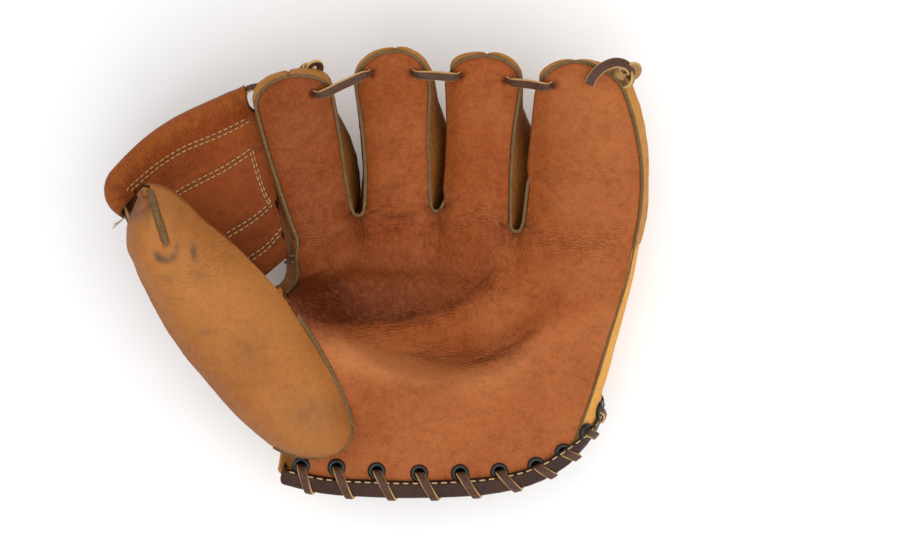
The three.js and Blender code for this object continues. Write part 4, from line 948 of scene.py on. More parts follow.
COLUMNS = 44  # of faces across a finger
PALM_ROWS = 160
POCKET_FOLD = Spline([(56, 15.6, 0), (47.5, -5, 0), (33, -13.8, 0), (13.4, -19.4, 0), (-8.5, -21, 0),
                      (-32, -17, 0)])
ROLL_FOLD = Spline([(2, -33, 0), (10, -34, 0), (24, -35, 0), (44.5, -37, 0), (53, -36, 0), (64.6, -28, 0),
                    (74, -21, 0)])
CREASES = [  # single creases: depth, half width, painted shade along them and places
    (0.9, 0.8, 0.5, [(-2.2, 26.5), (3.4, 25.1), (9, 25.1), (14, 26.2), (18.5, 28.5), (21.3, 30.5)]),
    (0.6, 0.8, 0.35, [(-5, 24.3), (-0.5, 21.5), (4.5, 19.3), (7.9, 20.9)]),
    (0.6, 0.7, 0.35, [(9, 23.2), (8.1, 19.8), (9.5, 15.3)]),
    (0.8, 0.8, 0.45, [(55.9, 26.5), (52, 21.5), (49.5, 15.3)]),
    (0.7, 0.8, 0.4, [(56.5, 22.6), (52.5, 18.1), (50.6, 14.8)]),
    (0.35, 0.9, 0.15, [(-3.1, 34.7), (5.2, 38.6), (11.9, 41.9), (18.5, 43)]),
    (0.35, 0.9, 0.15, [(-3.7, 31.9), (6.3, 36.9), (14.1, 40.2), (19.7, 41.4)]),
    (0.8, 0.9, 0.45, [(-35, -9.2), (-25.7, -13.3), (-15.2, -17.5), (-4.8, -21.1)]),
    (0.8, 0.9, 0.4, [(-4.8, -21.1), (5.6, -19.6), (18.1, -17.5), (30.6, -14.4), (40, -8.1), (48.3, 0.2),
                     (53.5, 6.5)]),
    (0.6, 0.8, 0.35, [(1.4, -24.3), (13.9, -21.7), (26.4, -19.6)]),
    (0.7, 0.8, 0.45, [(-29.8, -16.4), (-21.5, -19.6), (-13.2, -22.2)]),
    (1.0, 1.0, 0.4, [(2.8, -33.8), (14.1, -34.8), (26.5, -37.9), (37.8, -38.9), (48.1, -35.8), (56.3, -31.7),
                     (63.6, -26.6), (70.8, -22.5)]),
    (1.3, 3.2, 0.3, [(10.1, -50.1), (20.3, -49.1), (30.6, -47), (40.9, -43.9), (51.1, -39.8), (61.4, -33.7),
                     (65.5, -29.6)]),
]
ROLL_LINE = ([-45, -30, -11, 4, 24, 44.5, 53, 64.6, 74, 95],  # crest of the heel roll
             [-12, -19, -28, -32, -35, -37, -36, -28, -21, -12])
POCKET_LINE = ([-45, -32, -8.5, 13.4, 33, 47.5, 56, 90], [-14, -17, -21, -19.4, -13.8, -5, 15.6, 40])
FINGER_LACE_SHARE = 0.88
FINGER_LACE_SIDES = [(0, 0.62), (-0.74, 0.68), (-0.77, 0.68), (-0.75, 0)]  # shares of the half width
ROLL_OVER = {"drop": 2.6, "reach": 1.7, "tuck": 2.2}  # where the leather rolls over and hides the welt
ROLL_FROM = [None, None, 0.02, 0.26]  # share of the finger's length from which it does so on the thumb side


def distance_to(curve, x, y):
    line = curve.along(shares(90))[:, :2]
    p = np.stack([x, y], -1)[..., None, :]
    return np.sqrt(np.min(np.sum((p - line) ** 2, -1), -1))


def distance_to_ends(x, y, first, last):
    return np.minimum(np.hypot(x - first[0], y - first[1]), np.hypot(x - last[0], y - last[1]))


def lace_hole(i, side):
    return fingers[i].front(FINGER_LACE_SHARE, FINGER_LACE_SIDES[i][side > 0])


LACE_HOLES = [(lace_hole(i, side), side) for i, side in ((0, 1), (1, -1), (1, 1), (2, -1), (2, 1), (3, -1))]


def front_relief(p):
    """Relief of the palm leather, the shade painted into its folds, creases, crotches and lace holes, and its
    wrinkles: strength and place across them.
    """
    x, y = p[..., 0], p[..., 1]
    flat = np.stack([x, y, 0 * x], -1)
    warp = folds(flat, 9)
    z = 0.5 * folds(flat, 26)
    dark = 0 * x
    wrinkles = [(0.15 + 0 * x, 0.35 * x + y)]
    for curve, band, deep in ((POCKET_FOLD, 9.0, 0.6), (ROLL_FOLD, 6.5, 0.8)):
        d = distance_to(curve, x, y)
        kept = smooth(distance_to_ends(x, y, curve.along(0), curve.along(1)), 4, 22)
        z = z - kept * deep * np.exp(-np.sqrt(d**2 + 0.3) / 1.5)
        z = z - 0.13 * kept * bell(d / band) * ripples(d + 2.4 * warp, 2.9)
        # painted shade along the pocket fold and the roll fold
        dark = dark + kept * (0.16 * bell(d / 1.3) + 0.08 * bell(d / 5))
        wrinkles.append((0.75 * kept * bell(d / (1.1 * band)), d))
    for finger, width in zip(fingers, FINGER_BASES):
        from_base = p[..., :2] - finger.middle(0.0)[:2]
        ahead = from_base @ finger.run[:2]
        beside = np.abs(from_base @ finger.across[:2]) / (width / 2)
        mask = bell((ahead + 2) / 9) * smooth(1.1 - beside, 0, 0.5)
        bend = bell((ahead - 26) / 8) * smooth(1.0 - beside, 0, 0.5)
        z = z - 0.12 * mask * ripples(ahead + 1.8 * warp, 3.6)
        wrinkles += [(0.8 * mask, ahead), (0.4 * bend, ahead)]
    for deep, wide, tint, line in CREASES:
        d = distance_to(Spline([(*q, 0) for q in line]), x + 0.5 * warp, y + 0.5 * warp) / wide
        ends = bell(distance_to_ends(x, y, line[0], line[-1]) / 3)
        mark = (1 - 0.8 * ends) * np.exp(-np.sqrt(d**2 + 0.1) + 0.3)
        z = z - deep * mark
        # painted shade along the crease
        dark = dark + tint * mark * (0.7 + 0.3 * warp)
    for corner in corners[1:4]:
        d = np.hypot(x - corner[0], y - corner[1] + 3)
        around = np.arctan2(x - corner[0], corner[1] - y)
        z = z - 0.25 * bell(d / 9) * np.cos(7 * around + 2 * warp)
        # painted shade in the crotch between two fingers
        dark = dark + 0.2 * bell(d / 6)
        wrinkles.append((0.9 * bell(d / 15), 12 * around))
    for hole, side in LACE_HOLES:
        d = np.hypot(x - hole[0] + 1.5 * side, y - hole[1])
        z = z - 1.6 * bell(d / 1.6)
        # painted shade in and round the lace hole
        dark = dark + 1.4 * bell(d / 1.5)
    left = bump_at(x, y, (-24, -14), 17, 16)
    slanted = 0.9 * y + 0.45 * x
    z = z - 0.22 * left * ripples(slanted + 1.6 * warp, 3.6)
    wrinkles.append((0.85 * left, slanted))
    strengths, places = (np.array(values) for values in zip(*wrinkles))
    second, strongest = np.sort(strengths, 0)[-2:]
    phase = np.take_along_axis(places, np.argmax(strengths, 0)[None], 0)[0]
    return z, dark, strongest * smooth(strongest - second, 0.03, 0.2), phase


def front_tints(p):
    """Relief and tints: painted shade in the pocket and, with some dirt, under the thumb, darker towards the
    index finger; paler on the heel and to the little finger side, with a painted highlight along the crest of
    the heel roll.
    """
    x, y = p[..., 0], p[..., 1]
    z, dark, crease, phase = front_relief(p)
    roll_y = np.interp(x, *ROLL_LINE)
    fold_y = np.interp(x, *POCKET_LINE)
    heel = smooth(roll_y - y, -3, 5)
    pocket = smooth(y - fold_y, -6, 4) * bell(x / 48) * bell((y - fold_y) / 34)
    left = bump_at(x, y, (-27, -16), 16, 15)
    outer = smooth(x, 40, 105) * smooth(y, -50, 60)
    crest = bell((y - roll_y + 9) / 6) * bell((x - 8) / 60) + 0.7 * bump_at(x, y, (-9, -36), 22, 9)
    # painted shade in the pocket's hollow and under the thumb (partly dirt there); darker towards the index
    # finger
    shade = 0.75 * pocket + 0.75 * left + dark + 0.36 * smooth(30 - x, 0, 60) * smooth(y, 0, 30)
    # paler on the heel below the roll and to the little finger side; painted highlight on the roll's crest;
    # painted shade in the pocket
    wear = 0.24 * heel + 0.65 * crest + 0.3 * outer - 0.5 * pocket
    return z, {"shade": shade, "wear": wear, "crease": crease, "phase": phase}


def hidden_welt(i, s):
    """Where the welt on the thumb side of a finger is out of sight."""
    start = ROLL_FROM[i]
    return 0 * s if start is None else smooth(s, start, start + 0.14) * smooth(1 - s, 0.06, 0.2)


def finger_front(i, s):
    finger = fingers[i]
    across = np.linspace(-1, 1, COLUMNS + 1)
    reach = np.maximum(0.2, 1 - 0.5 / np.maximum(finger.half(s), 0.2))
    grid = finger.front(s[:, None], across[None, :], reach[:, None])
    rolled = (hidden_welt(i, s)[:, None] * smooth(-across, 0.7, 1)[None, :])[..., None]
    return grid - rolled * (ROLL_OVER["drop"] * UP + ROLL_OVER["reach"] * finger.across)


def palm_faces(points, columns):
    """Faces of the palm, without those in the bores of the eyelets."""
    faces = np.array(grid_faces(PALM_ROWS + 1, columns))
    centres = eyelet_centre(EYELET_PLACES[:PALM_EYELETS])
    apart = np.linalg.norm(points[faces].mean(1)[:, None] - centres[None], axis=-1).min(1)
    return faces[apart > EYELET_BORE + 0.6].tolist()


def front_piece():
    u = shares(len(fingers) * COLUMNS + 1)
    parts = [palm(u[None, :], shares(PALM_ROWS + 1)[:, None]).reshape(-1, 3)]
    faces = palm_faces(parts[0], len(u))
    last_row = PALM_ROWS * len(u)
    start = len(parts[0])
    for i, finger in enumerate(fingers):
        s = tip_rows(finger, 0.02, 60, 16)
        parts.append(finger_front(i, s).reshape(-1, 3))
        faces += grid_faces(len(s), COLUMNS + 1, start)
        for j in range(COLUMNS):
            a = last_row + i * COLUMNS + j
            faces.append([a, a + 1, start + j + 1, start + j])
        start += len(parts[-1])
    points = np.concatenate(parts)
    relief, tints = front_tints(points)
    points[:, 2] += relief
    nodes = ["palm_front", *[f"{name}_finger_front" for name in FINGER_NAMES]]
    obj = make("palm_and_finger_fronts", (points, faces), palm_leather, "palm", replaces=nodes,
               blend=FINGER_BLEND, **tints)
    thickness = obj.modifiers.new("leather", "SOLIDIFY")
    thickness.thickness = LEATHER / 1000
    thickness.offset = -1


front_piece()

# Finger backs, each in two halves that meet in a seam

SIDE_SHARES = [-0.07, 0.05, 0.16, 0.27, 0.42, 0.6, 0.85, 1.0]
SIDE_LEATHER = {  # how far the back shows past its seam, at the shares of the finger's length
    "index_back_thumb_side": [1.2, 1.2, 1.2, 1, 0.5, -0.4, -2.2, -3],
    "index_back_little_side": [5, 7.2, 8, 7.5, 4.6, -0.8, -2.3, -2.4],
    "middle_back_thumb_side": [-2, -2.6, -2.8, -2.4, -1.4, -0.9, -1.8, -2],
    "middle_back_little_side": [4, 6.5, 7.8, 8.2, 6.6, 2.2, -1.5, -1.9],
    "ring_back_thumb_side": [-3, -3, -3, -3, -3, -3, -2.5, -1.7],
    "ring_back_little_side": [4, 6, 8, 8.8, 6.4, 0, -2.4, -2.2],
    "little_back_thumb_side": [-3, -3, -3, -3, -3, -3, -2.5, -1.7],
    "little_back_little_side": [-1.2, -1.2, -1.4, -1.4, -1, 0.2, 0.5, -1.7],
}
SIDE_TURN = 5.0  # taken off by the roundness of the back
TIP_OVERHANGS = [0.2, 1.5, 0.9, 0.6]  # how far the backs show over the tips
BACK_COLUMNS = 18


def back_grid(stall, side, s, columns, reach=None, seam=WELT_RADIUS, tuck=0.0, overhang=0.0):
    """Half of a stall's back, from its side seam to the seam up its middle."""
    depth = np.maximum(stall.depth(s), 0.3)
    first = np.arcsin(np.minimum(0.9, (seam + 1.5 * tuck) / depth) ** (1 / BACK_DROP_POWER))
    last = np.pi / 2 - 0.3 / np.maximum(stall.half(s), 0.4)
    angle = mix(first[:, None], last[:, None], shares(columns + 1)[None, :])
    grid = stall.back(s[:, None], angle if side > 0 else np.pi - angle)
    if reach is None:
        return grid
    extra = (np.interp(s, SIDE_SHARES, reach) + SIDE_TURN - stall.bulge) * stall.rounding(s)
    sideways = extra[:, None] * np.sin(2 * angle) - np.reshape(tuck + 0 * s, (-1, 1)) * np.cos(angle)
    ahead = overhang * smooth(s, 0.68, 0.9)[:, None] * np.sin(angle) ** 0.7
    return grid + (side * sideways)[..., None] * stall.across + ahead[..., None] * stall.run


def finger_back(i, side, which):
    finger, name = fingers[i], f"{FINGER_NAMES[i]}_back_{which}"
    s = np.concatenate([[-0.07, -0.035], tip_rows(finger, 0.0, 34, 12)])
    tuck = ROLL_OVER["tuck"] * hidden_welt(i, s) if side < 0 else 0.0
    grid = back_grid(finger, side, s, BACK_COLUMNS, SIDE_LEATHER[name], tuck=tuck, overhang=TIP_OVERHANGS[i])
    column = shares(BACK_COLUMNS + 1)[None, :]
    at_seam = column**6
    relief = 0.35 * folds(grid, 14) + 0.12 * folds(grid * vec(0.6, 1.6, 0.6), 4) - 0.5 * at_seam
    # darker towards the base, along the seam and on the sides that face the next finger: painted shade in the
    # gaps between the fingers; less on the little finger's outer side
    shade = 0.45 + 0.5 * smooth(0.45 - s, 0, 0.5)[:, None] + 0.2 * at_seam
    if name == "little_back_little_side":
        shade = 0.3 * shade
    else:
        shade = shade + 0.6 * smooth(0.75 - column, 0, 0.3) * smooth(0.92 - s, 0, 0.2)[:, None]
    inside = finger.middle(np.clip(s, 0, 1))[:, None]
    sheet_piece(name, grid, grid - inside, back_leather, "palm", relief=relief,
                replaces=[f"{FINGER_NAMES[i]}_finger_back_{which}"], blend=FINGER_BLEND,
                wear=0.15 + 0.25 * folds(grid, 30), shade=shade)


for number in range(len(fingers)):
    finger_back(number, -1, "thumb_side")
    finger_back(number, 1, "little_side")

# Welts: raw leather strips in the seams, which show as a double line

CROTCH_TURN = np.array([(-2.4, 0.6, 0.3), (-1.3, -1.2, 0.3), (1.3, -1.2, 0.3), (2.4, 0.6, 0.3)])
SIDE_WELT = 0.75  # the welt of the side seam is thinner
SIDE_WELT_BLEND = 12  # points over which it becomes so


def welt_section(radius):
    a = np.linspace(0, 2 * np.pi, 20, endpoint=False)
    r = radius * (1 - 0.3 * bell((a - np.pi / 2) / 0.32))
    return np.stack([r * np.cos(a) * 1.1, r * np.sin(a)], -1)


def finger_welts():
    path = [thumb_curve.along(np.linspace(0.76, 0.97, 12)) + vec(-0.5, 0, 0.2)]
    for i, finger in enumerate(fingers):
        s = tip_rows(finger, 0.045, 26, 14)[:-1]
        left = finger.left(s) + hidden_welt(i, s)[:, None] * (1.6 * finger.across - 4.5 * UP)
        path += [left, finger.middle([1.0]), finger.right(s[::-1])]
        if finger is not little_finger:
            path.append(corners[i + 1] + CROTCH_TURN)
    fingers_end = sum(len(p) for p in path)
    path.append(little_curve.along(np.linspace(0.95, 0.05, 30)) + vec(0.7, 0, -0.5))
    places = np.concatenate(path)
    share = shares(1100)
    dense = Spline(places, 5000).along(share) + vec(0, 0, 0.35)
    runs = run_lengths(places)
    thinner = smooth(share, runs[fingers_end - SIDE_WELT_BLEND] / runs[-1], runs[fingers_end] / runs[-1])
    welt = section_sweep(dense, UP, welt_section(0.66), mix(1, SIDE_WELT, thinner))
    nodes = [f"{name}_finger_welt" for name in FINGER_NAMES] + ["little_side_welt"]
    make("finger_and_side_welts", roughened(welt, 0.05, 2.2), welt_leather, "palm", replaces=nodes,
         blend=FINGER_BLEND)


finger_welts()

# Thumb: front and outer back are one hide here, folded over the outer side

SLIT = {"from": 0.851, "to": 0.994, "width": 2.7, "height": 2.6}
SLIT_LINE = ([SLIT["from"], 0.893, 0.937, 0.973, 0.989, 1], [0.075, 0.188, 0.3, 0.413, 0.45, 0.45])
LOW_HALF = (0.946, 0.975)  # where the half beside the slit ends short of the tip
LOW_DROP = 2.4
SMUDGES = [  # place, half width, half height and strength
    (-92.7, 7.8, 1.5, 1.7, 0.9), (-90.9, 5.9, 1.8, 1.4, 1.0), (-88.3, 5.3, 1.9, 1.3, 1.0),
    (-85.4, 6.9, 1.7, 1.7, 1.0), (-83.9, 10.3, 1.1, 2.0, 0.7), (-77.1, 8.4, 1.4, 3.6, 1.0),
    (-96.2, 22.0, 1.2, 3.4, 0.5), (-83.5, 20.8, 2.0, 7.0, 0.3), (-74.4, -0.8, 2.6, 2.4, 0.4),
    (-88.6, -2.0, 5.0, 1.8, 0.3), (-73.1, -24.9, 3.4, 1.6, 0.6), (-30, -60, 12.0, 7.0, 0.3),
    (-56, -36, 7.0, 10.0, 0.2),
]
THUMB_CREASES = [(0.72, 0.07, 0.1), (0.52, 0.1, 0.05), (0.12, 0.08, 0.06)]  # share, half width and strength
THUMB_ROWS = (90, 16)  # of points along the thumb and round each end


def slit_line(s):
    """Side place of the slit at the tip of the thumb."""
    return np.interp(s, *SLIT_LINE)


def thumb_skin():
    s = thumb_rows(*THUMB_ROWS)
    v = np.sin(np.linspace(np.pi / 2, -np.pi / 2, 61))
    front = thumb.front(s[:, None], v[None, :])
    back = thumb.back(s[:, None], np.linspace(np.pi, np.pi / 2 + 0.02, 27)[None, 1:])
    front_columns, back_columns = front.shape[1], back.shape[1]
    grid = np.concatenate([front, back], 1)
    on_front = np.concatenate([np.ones(front_columns), np.zeros(back_columns)])[None, :]
    round_back = np.concatenate([np.zeros(front_columns), shares(back_columns)])[None, :]
    side = np.concatenate([v, np.full(back_columns, -1.0)])[None, :]
    share = s[:, None]
    half = thumb.half(share)
    before_slit = slit_line(share) - side
    offset = -before_slit * half
    in_slit = smooth(share - SLIT["from"], -0.012, 0.012) * smooth(1 - share, 0, 0.02) * on_front
    relief = 0.6 * folds(grid, 30) + 0.18 * folds(grid * vec(1.0, 0.5, 1.0), 7)
    relief = (relief - in_slit * 1.2 * bell(offset / 2.0)) * smooth(0.996 - share, 0, 0.012)
    low = smooth(share, *LOW_HALF) * smooth(before_slit, 0, 0.3) * (1 - round_back) ** 2
    slit = thumb.front(s, slit_line(s))[:, None]
    grid = grid + low[..., None] * (0.2 * (slit - grid) * vec(1, 1, 0) - LOW_DROP * UP)
    ripple = share * thumb.length + 0.35 * side * half + 2.2 * folds(grid, 12)
    creased = sum(strength * bell((share - at) / wide) for at, wide, strength in THUMB_CREASES) * on_front
    relief = relief - 0.6 * creased * ripples(ripple, 3.4)
    smudge = sum(strength * bump_at(grid[..., 0], grid[..., 1], (x, y), wide, tall)
                 for x, y, wide, tall, strength in SMUDGES)
    smudge = smudge * on_front * (0.75 + 0.4 * folds(grid, 4))
    # paler down the middle of the front and on its right side near the base: painted highlight
    wear = 0.35 + 0.3 * folds(grid, 40) + 0.3 * on_front * bell((side + 0.2) / 0.5)
    wear = wear + 0.5 * on_front * smooth(side, 0.2, 0.8) * bell((share - 0.35) / 0.3)
    # painted shade on the back, at the front's left edge, at the step where the lower half ends, in the
    # groove beside the slit and on the lowered half; darker at the base
    shade = 0.35 * (1 - on_front) + 0.2 * smooth(-side, 0.75, 1) * on_front
    shade = shade + 0.2 * bell((share - 0.05) / 0.08)
    shade = shade + 0.5 * bell((share - 0.968) / 0.004) * smooth(before_slit, 0, 0.1)
    shade = shade + in_slit * bell((np.abs(offset) - 1.5) / 0.6) + 0.35 * low
    inside = (thumb.middle(s) - 6 * thumb.normal(s))[:, None]
    sheet_piece("thumb_skin", grid, grid - inside, thumb_leather, "palm", relief=relief, rounding=0.1,
                replaces=["thumb_front", "thumb_back_outer"], blend=THUMB_BLEND,
                wear=wear, shade=shade, smudge=smudge, crease=5 * creased, phase=ripple)


def thumb_inner_back():
    s = tip_rows(thumb, THUMB_MOUTH_SHARE, 40, 12)
    grid = back_grid(thumb, 1, s, 20, seam=0.4)
    grid = grid - 4.0 * (1 - smooth(s, THUMB_MOUTH_SHARE, 0.66))[:, None, None] * thumb.across
    sheet_piece("thumb_back_inner_side", grid, grid - thumb.middle(s)[:, None], thumb_leather, "palm",
                relief=0.3 * folds(grid, 16), replaces=["thumb_back_inner"], blend=THUMB_BLEND,
                wear=0.2, shade=0.3, smudge=0)


def thumb_seam_welt():
    base = thumb.base_to * np.cos(np.linspace(0, np.pi / 2, 16))[1:]
    s = np.maximum(np.concatenate([np.linspace(0.42, thumb.base_to, 30), base]), BASE_START)
    path = np.concatenate([thumb.right(s), thumb.left(s[::-1][1:12])])
    dense = Spline(path, 1200).along(shares(260)) + vec(0.3, -0.2, 0.6)
    welt = roughened(section_sweep(dense, UP, welt_section(0.75)), 0.06, 2.2)
    make("thumb_seam_welt", welt, welt_leather, "palm", replaces=["thumb_welt"], blend=THUMB_BLEND)


def thumb_tip_strip():
    """Raw strip in the slit at the tip of the thumb."""
    s = np.linspace(SLIT["from"], SLIT["to"], 60)
    path = thumb.front(s, slit_line(s)) - 1.2 * thumb.normal(s)
    width = 0.35 + 0.65 * smooth(s, SLIT["from"], SLIT["from"] + 0.03)
    section = round_section(SLIT["width"], SLIT["height"], 16, 0.6)
    strip = roughened(section_sweep(path, thumb.normal(s), section, width), 0.14, 1.6, UP)
    make("thumb_tip_strip", strip, welt_leather, "palm", blend=THUMB_BLEND)


thumb_skin()
thumb_inner_back()
thumb_seam_welt()
thumb_tip_strip()

# Side leather, gusset, back of the hand and ear

GUSSET_WELTS = [0.86, 0.895]  # shares of the gusset where its short seam lies


def side_leather():
    v, t = shares(71)[:, None], shares(41)[None, :]
    grid = little_side(v, t)
    relief = 0.5 * folds(grid, 30) + 0.12 * folds(grid * vec(1, 0.4, 1.4), 5)
    inside = little_curve.along(v) + SIDE_MIDDLE
    # darker as it turns round towards the back: painted shade
    sheet_piece("little_side_leather", grid, grid - inside, back_leather, "palm", relief=relief,
                replaces=["little_side_panel"], blend=FINGER_BLEND,
                wear=0.75 + 0.3 * folds(grid, 34), shade=0.2 * t**2)


def gusset_leather():
    v = np.clip(np.linspace(-0.02, 1, 30), 0, 1)[:, None]
    grid = gusset(v, shares(30)[None, :])
    # darkened in full: painted shade deep between the thumb and the index finger
    sheet_piece("thumb_gusset_leather", grid, vec(-1, 0, -0.3), back_leather, "palm",
                relief=0.3 * folds(grid, 12), replaces=["thumb_gusset"], blend=FINGER_BLEND, wear=0, shade=1)


def gusset_welts():
    parts = []
    for v in GUSSET_WELTS:
        line = gusset(v, np.linspace(0.02, 0.4, 40)) + vec(-0.4, 0, 5.5)
        parts.append(section_sweep(line, vec(-1, 0, 0.4), welt_section(0.5)))
    make("gusset_welts", joined(parts), welt_leather, "palm", blend=FINGER_BLEND)


def back_of_hand():
    r = shares(51)[:, None]
    grid = hand_back(shares(71)[None, :], r)
    relief = np.minimum(0.0, 0.35 * folds(grid, 18) - 0.2) * smooth(r, 0.02, 0.2) - 0.05
    sheet_piece("back_of_hand", grid, -UP, back_leather, "palm", relief=relief, replaces=["hand_back"],
                blend=FINGER_BLEND, wear=0.35 + 0.35 * folds(grid, 40), shade=0.15)


def ear_leather():
    grid = ear(shares(61)[:, None], shares(17)[None, :])
    sheet_piece("ear_leather", grid, vec(0, -1, -1), back_leather, "palm", relief=0.25 * folds(grid, 12),
                replaces=["thumb_side_ear"], wear=0.4, shade=0.2)


side_leather()
gusset_leather()
gusset_welts()
back_of_hand()
ear_leather()

# Leather between the thumb and the back of the hand

THUMB_SIDE = {"from": 0.2, "to": 0.5, "wrist": -36, "front": -16, "gap": 0.8, "bulge": 4}
MOUTH_ANGLES = [1.1, 0.7, 0.4]  # where it ends at the mouth of the thumb
GUSSET_PLACES = [0.55, 0.4, 0.2, 0.05]  # where it meets the gusset


def thumb_side_leather():
    s = np.linspace(THUMB_SIDE["from"], THUMB_SIDE["to"], 5)
    gap = THUMB_SIDE["gap"]
    top = thumb.back(s, np.pi / 2) + gap * thumb.across + SHELL / 2 * thumb.normal(s)
    mouth = thumb.back(THUMB_SIDE["to"], MOUTH_ANGLES)
    y = np.linspace(THUMB_SIDE["wrist"], THUMB_SIDE["front"], 4)
    up_the_back = (y - BACK["wrist"]) / (knuckle_line(BACK["left"]) - BACK["wrist"])
    foot = hand_back(0, up_the_back) + vec(-SHELL - gap, 0, SEAM_GAP)
    gusset_edge = gusset(0, GUSSET_PLACES) - vec(0, 2 * gap, 0)
    r, t = shares(60)[:, None], shares(30)[None, :]
    low = Spline(np.concatenate([foot, gusset_edge])).at(r)
    high = Spline(np.concatenate([top, mouth])).at(r)
    bulge = -THUMB_SIDE["bulge"] * np.sin(np.pi * t) * (1 - r)
    grid = mix(low, high, t[..., None]) + bulge[..., None] * vec(1, 0, 0)
    out = vec(-1, 0, -0.2) + (0.9 * smooth(r, 0.4, 0.8))[..., None] * vec(0, 1, 0)
    sheet_piece("thumb_side_leather", grid, out, back_leather, "palm", relief=0.3 * folds(grid, 14),
                replaces=["thumb_side_panel"], blend=THUMB_SIDE_BLEND, wear=0.2, shade=0.35)


thumb_side_leather()

# Lining and heel pad

PAD_ACROSS = (0.1, 0.9)  # shares of the palm that the pad covers
PAD_ALONG = (0.16, 0.56)


def lining():
    u, v = np.linspace(0.04, 0.96, 61)[None, :], np.linspace(0.15, 0.95, 51)[:, None]
    drop = SHELL + 2 * SEAM_GAP + pad_thickness(u, v)
    sheet_piece("palm_lining_leather", palm(u, v) - drop[..., None] * UP, UP, lining_leather, "palm",
                thickness=LINING, replaces=["palm_lining"], blend=FINGER_BLEND, wear=0.3, shade=0.2)


def heel_felt():
    (left, right), (low, high) = PAD_ACROSS, PAD_ALONG
    u, v = np.linspace(left, right, 41)[None, :], np.linspace(low, high, 31)[:, None]
    edge = smooth(u, left, left + 0.06) * smooth(right - u, 0, 0.06)
    edge = edge * smooth(v, low, low + 0.04) * smooth(high - v, 0, 0.04)
    top = palm(u, v) - (SHELL + SEAM_GAP + 0.2 + 0.3 * (1 - edge))[..., None] * UP
    bottom = top - (0.6 + (pad_thickness(u, v) - 1.0) * edge)[..., None] * UP
    rows, columns = edge.shape
    size = rows * columns
    points = np.concatenate([top.reshape(-1, 3), bottom.reshape(-1, 3)])
    rim = grid_rim(rows, columns)
    faces = grid_faces(rows, columns) + [f[::-1] for f in grid_faces(rows, columns, size)]
    faces += [[b, a, a + size, b + size] for a, b in zip(rim, rim[1:] + rim[:1])]
    pad = make("heel_felt", (points, outward(points, faces)), felt, "palm", replaces=["heel_pad"])


lining()
heel_felt()

# Wrist edge: binding, eyelets and lace

BINDING_INSIDE = 0.62  # share of the binding's height that is left inside its fold


def binding_section():
    """Closed section of the folded binding, and how many of its points lie outside."""
    leg, out = BINDING["leg"], BINDING["out"]
    a = np.linspace(np.pi / 2, -np.pi / 2, 25)
    across = leg - (leg + out) * np.maximum(np.cos(a), 0) ** 0.55
    outer = np.stack([across, binding_outer * signed_power(np.sin(a), 0.6)], -1)
    inner = outer[::-1] * vec(1, BINDING_INSIDE)
    inner[:, 0] = np.maximum(inner[:, 0], BINDING["thickness"] - out)
    return np.concatenate([outer, inner[1:-1]]), len(outer)


def binding():
    at, inward, normal = frame_at(np.linspace(-0.95, len(frames) - 1.001, 240))
    runs = run_lengths(at)
    bend = BINDING["end_round"]
    turn_in = np.maximum(0, 1 - runs / bend)
    at = at + inward * (bend * (1 - np.sqrt(1 - turn_in**2)))[:, None]
    section, outer = binding_section()
    rings = at[:, None] + section[None, :, :1] * inward[:, None] + section[None, :, 1:] * normal[:, None]
    ripple = 0.16 * folds(rings * vec(0.5, 1, 1), 3.0) * (np.arange(len(section)) < outer)
    away = 0.6 * normal[:, None] * np.sign(section[None, :, 1:] + 1e-6) - 0.4 * inward[:, None]
    points, faces = ring_sweep(rings + ripple[..., None] * away)
    make("wrist_binding", (points, faces), binding_leather, "palm", replaces=["heel_binding"],
         wear=0.1 + 0.4 * folds(points, 9), shade=0)
    sewn = runs > 2
    row = at + inward * (BINDING["leg"] - 1.2) + normal * (binding_outer * 0.93)
    make("binding_stitches", joined(stitches(row[sewn], normal[sewn], 4.2, 3.2, 0.34)), thread, "palm")


def lathe(profile, sides):
    a = np.linspace(0, 2 * np.pi, sides, endpoint=False)
    p = np.asarray(profile, float)
    return np.stack([p[:, None, 0] * np.cos(a), p[:, None, 0] * np.sin(a), p[:, None, 1] + 0 * a], -1)


def eyelet_profile():
    """Half section of an eyelet, from the middle of its well, whose black floor closes the bore as painted
    shade, over the rolled flange to its underside.
    """
    top, base = EYELET_SEAT + SHELL / 2, -SHELL / 2
    middle = (EYELET_BORE + EYELET_FLANGE) / 2
    half = (EYELET_FLANGE - EYELET_BORE) / 2
    outside = EYELET_BORE + EYELET_WALL
    # the well's floor is a black sheet across the bore: painted shade where the open hole would be dark
    well = [(0.02, base), (EYELET_BORE - 0.3, base), (EYELET_BORE, 0.2)]
    turn = np.linspace(1.1 * np.pi, -0.4 * np.pi, 18)
    roll = [(middle + half * np.cos(a), top + EYELET_RIM * np.sin(a)) for a in turn]
    under = [(outside, top - 0.6), (outside, base - 0.6), (EYELET_FLANGE - 0.4, base - 1.2),
             (EYELET_BORE, base - 1.5), (0.02, base - 1.4)]
    return well + roll + under


def eyelets():
    rings = lathe(eyelet_profile(), 44)
    for number, (place, inset) in enumerate(zip(EYELET_PLACES, EYELET_INSETS), 1):
        at, inward, normal = frame_at(place)
        axes = np.stack([inward, np.cross(normal, inward), normal])
        ring = ring_sweep(at + inward * inset + rings @ axes)
        make(f"eyelet_ring_{number:02d}", ring, black_enamel, "palm", replaces=[f"eyelet_{number:02d}"])


def ribbon(path, ups, width, thickness, scale=1.0):
    """A flat lace along a path, and where its pale cut edges are."""
    section = round_section(width, thickness, 20, 0.45)
    edge = smooth(np.abs(section[:, 0]), 0.4 * width, 0.5 * width)
    pale = np.concatenate([np.tile(edge, len(path)), [1, 1]])
    return section_sweep(path, ups, section, scale), pale


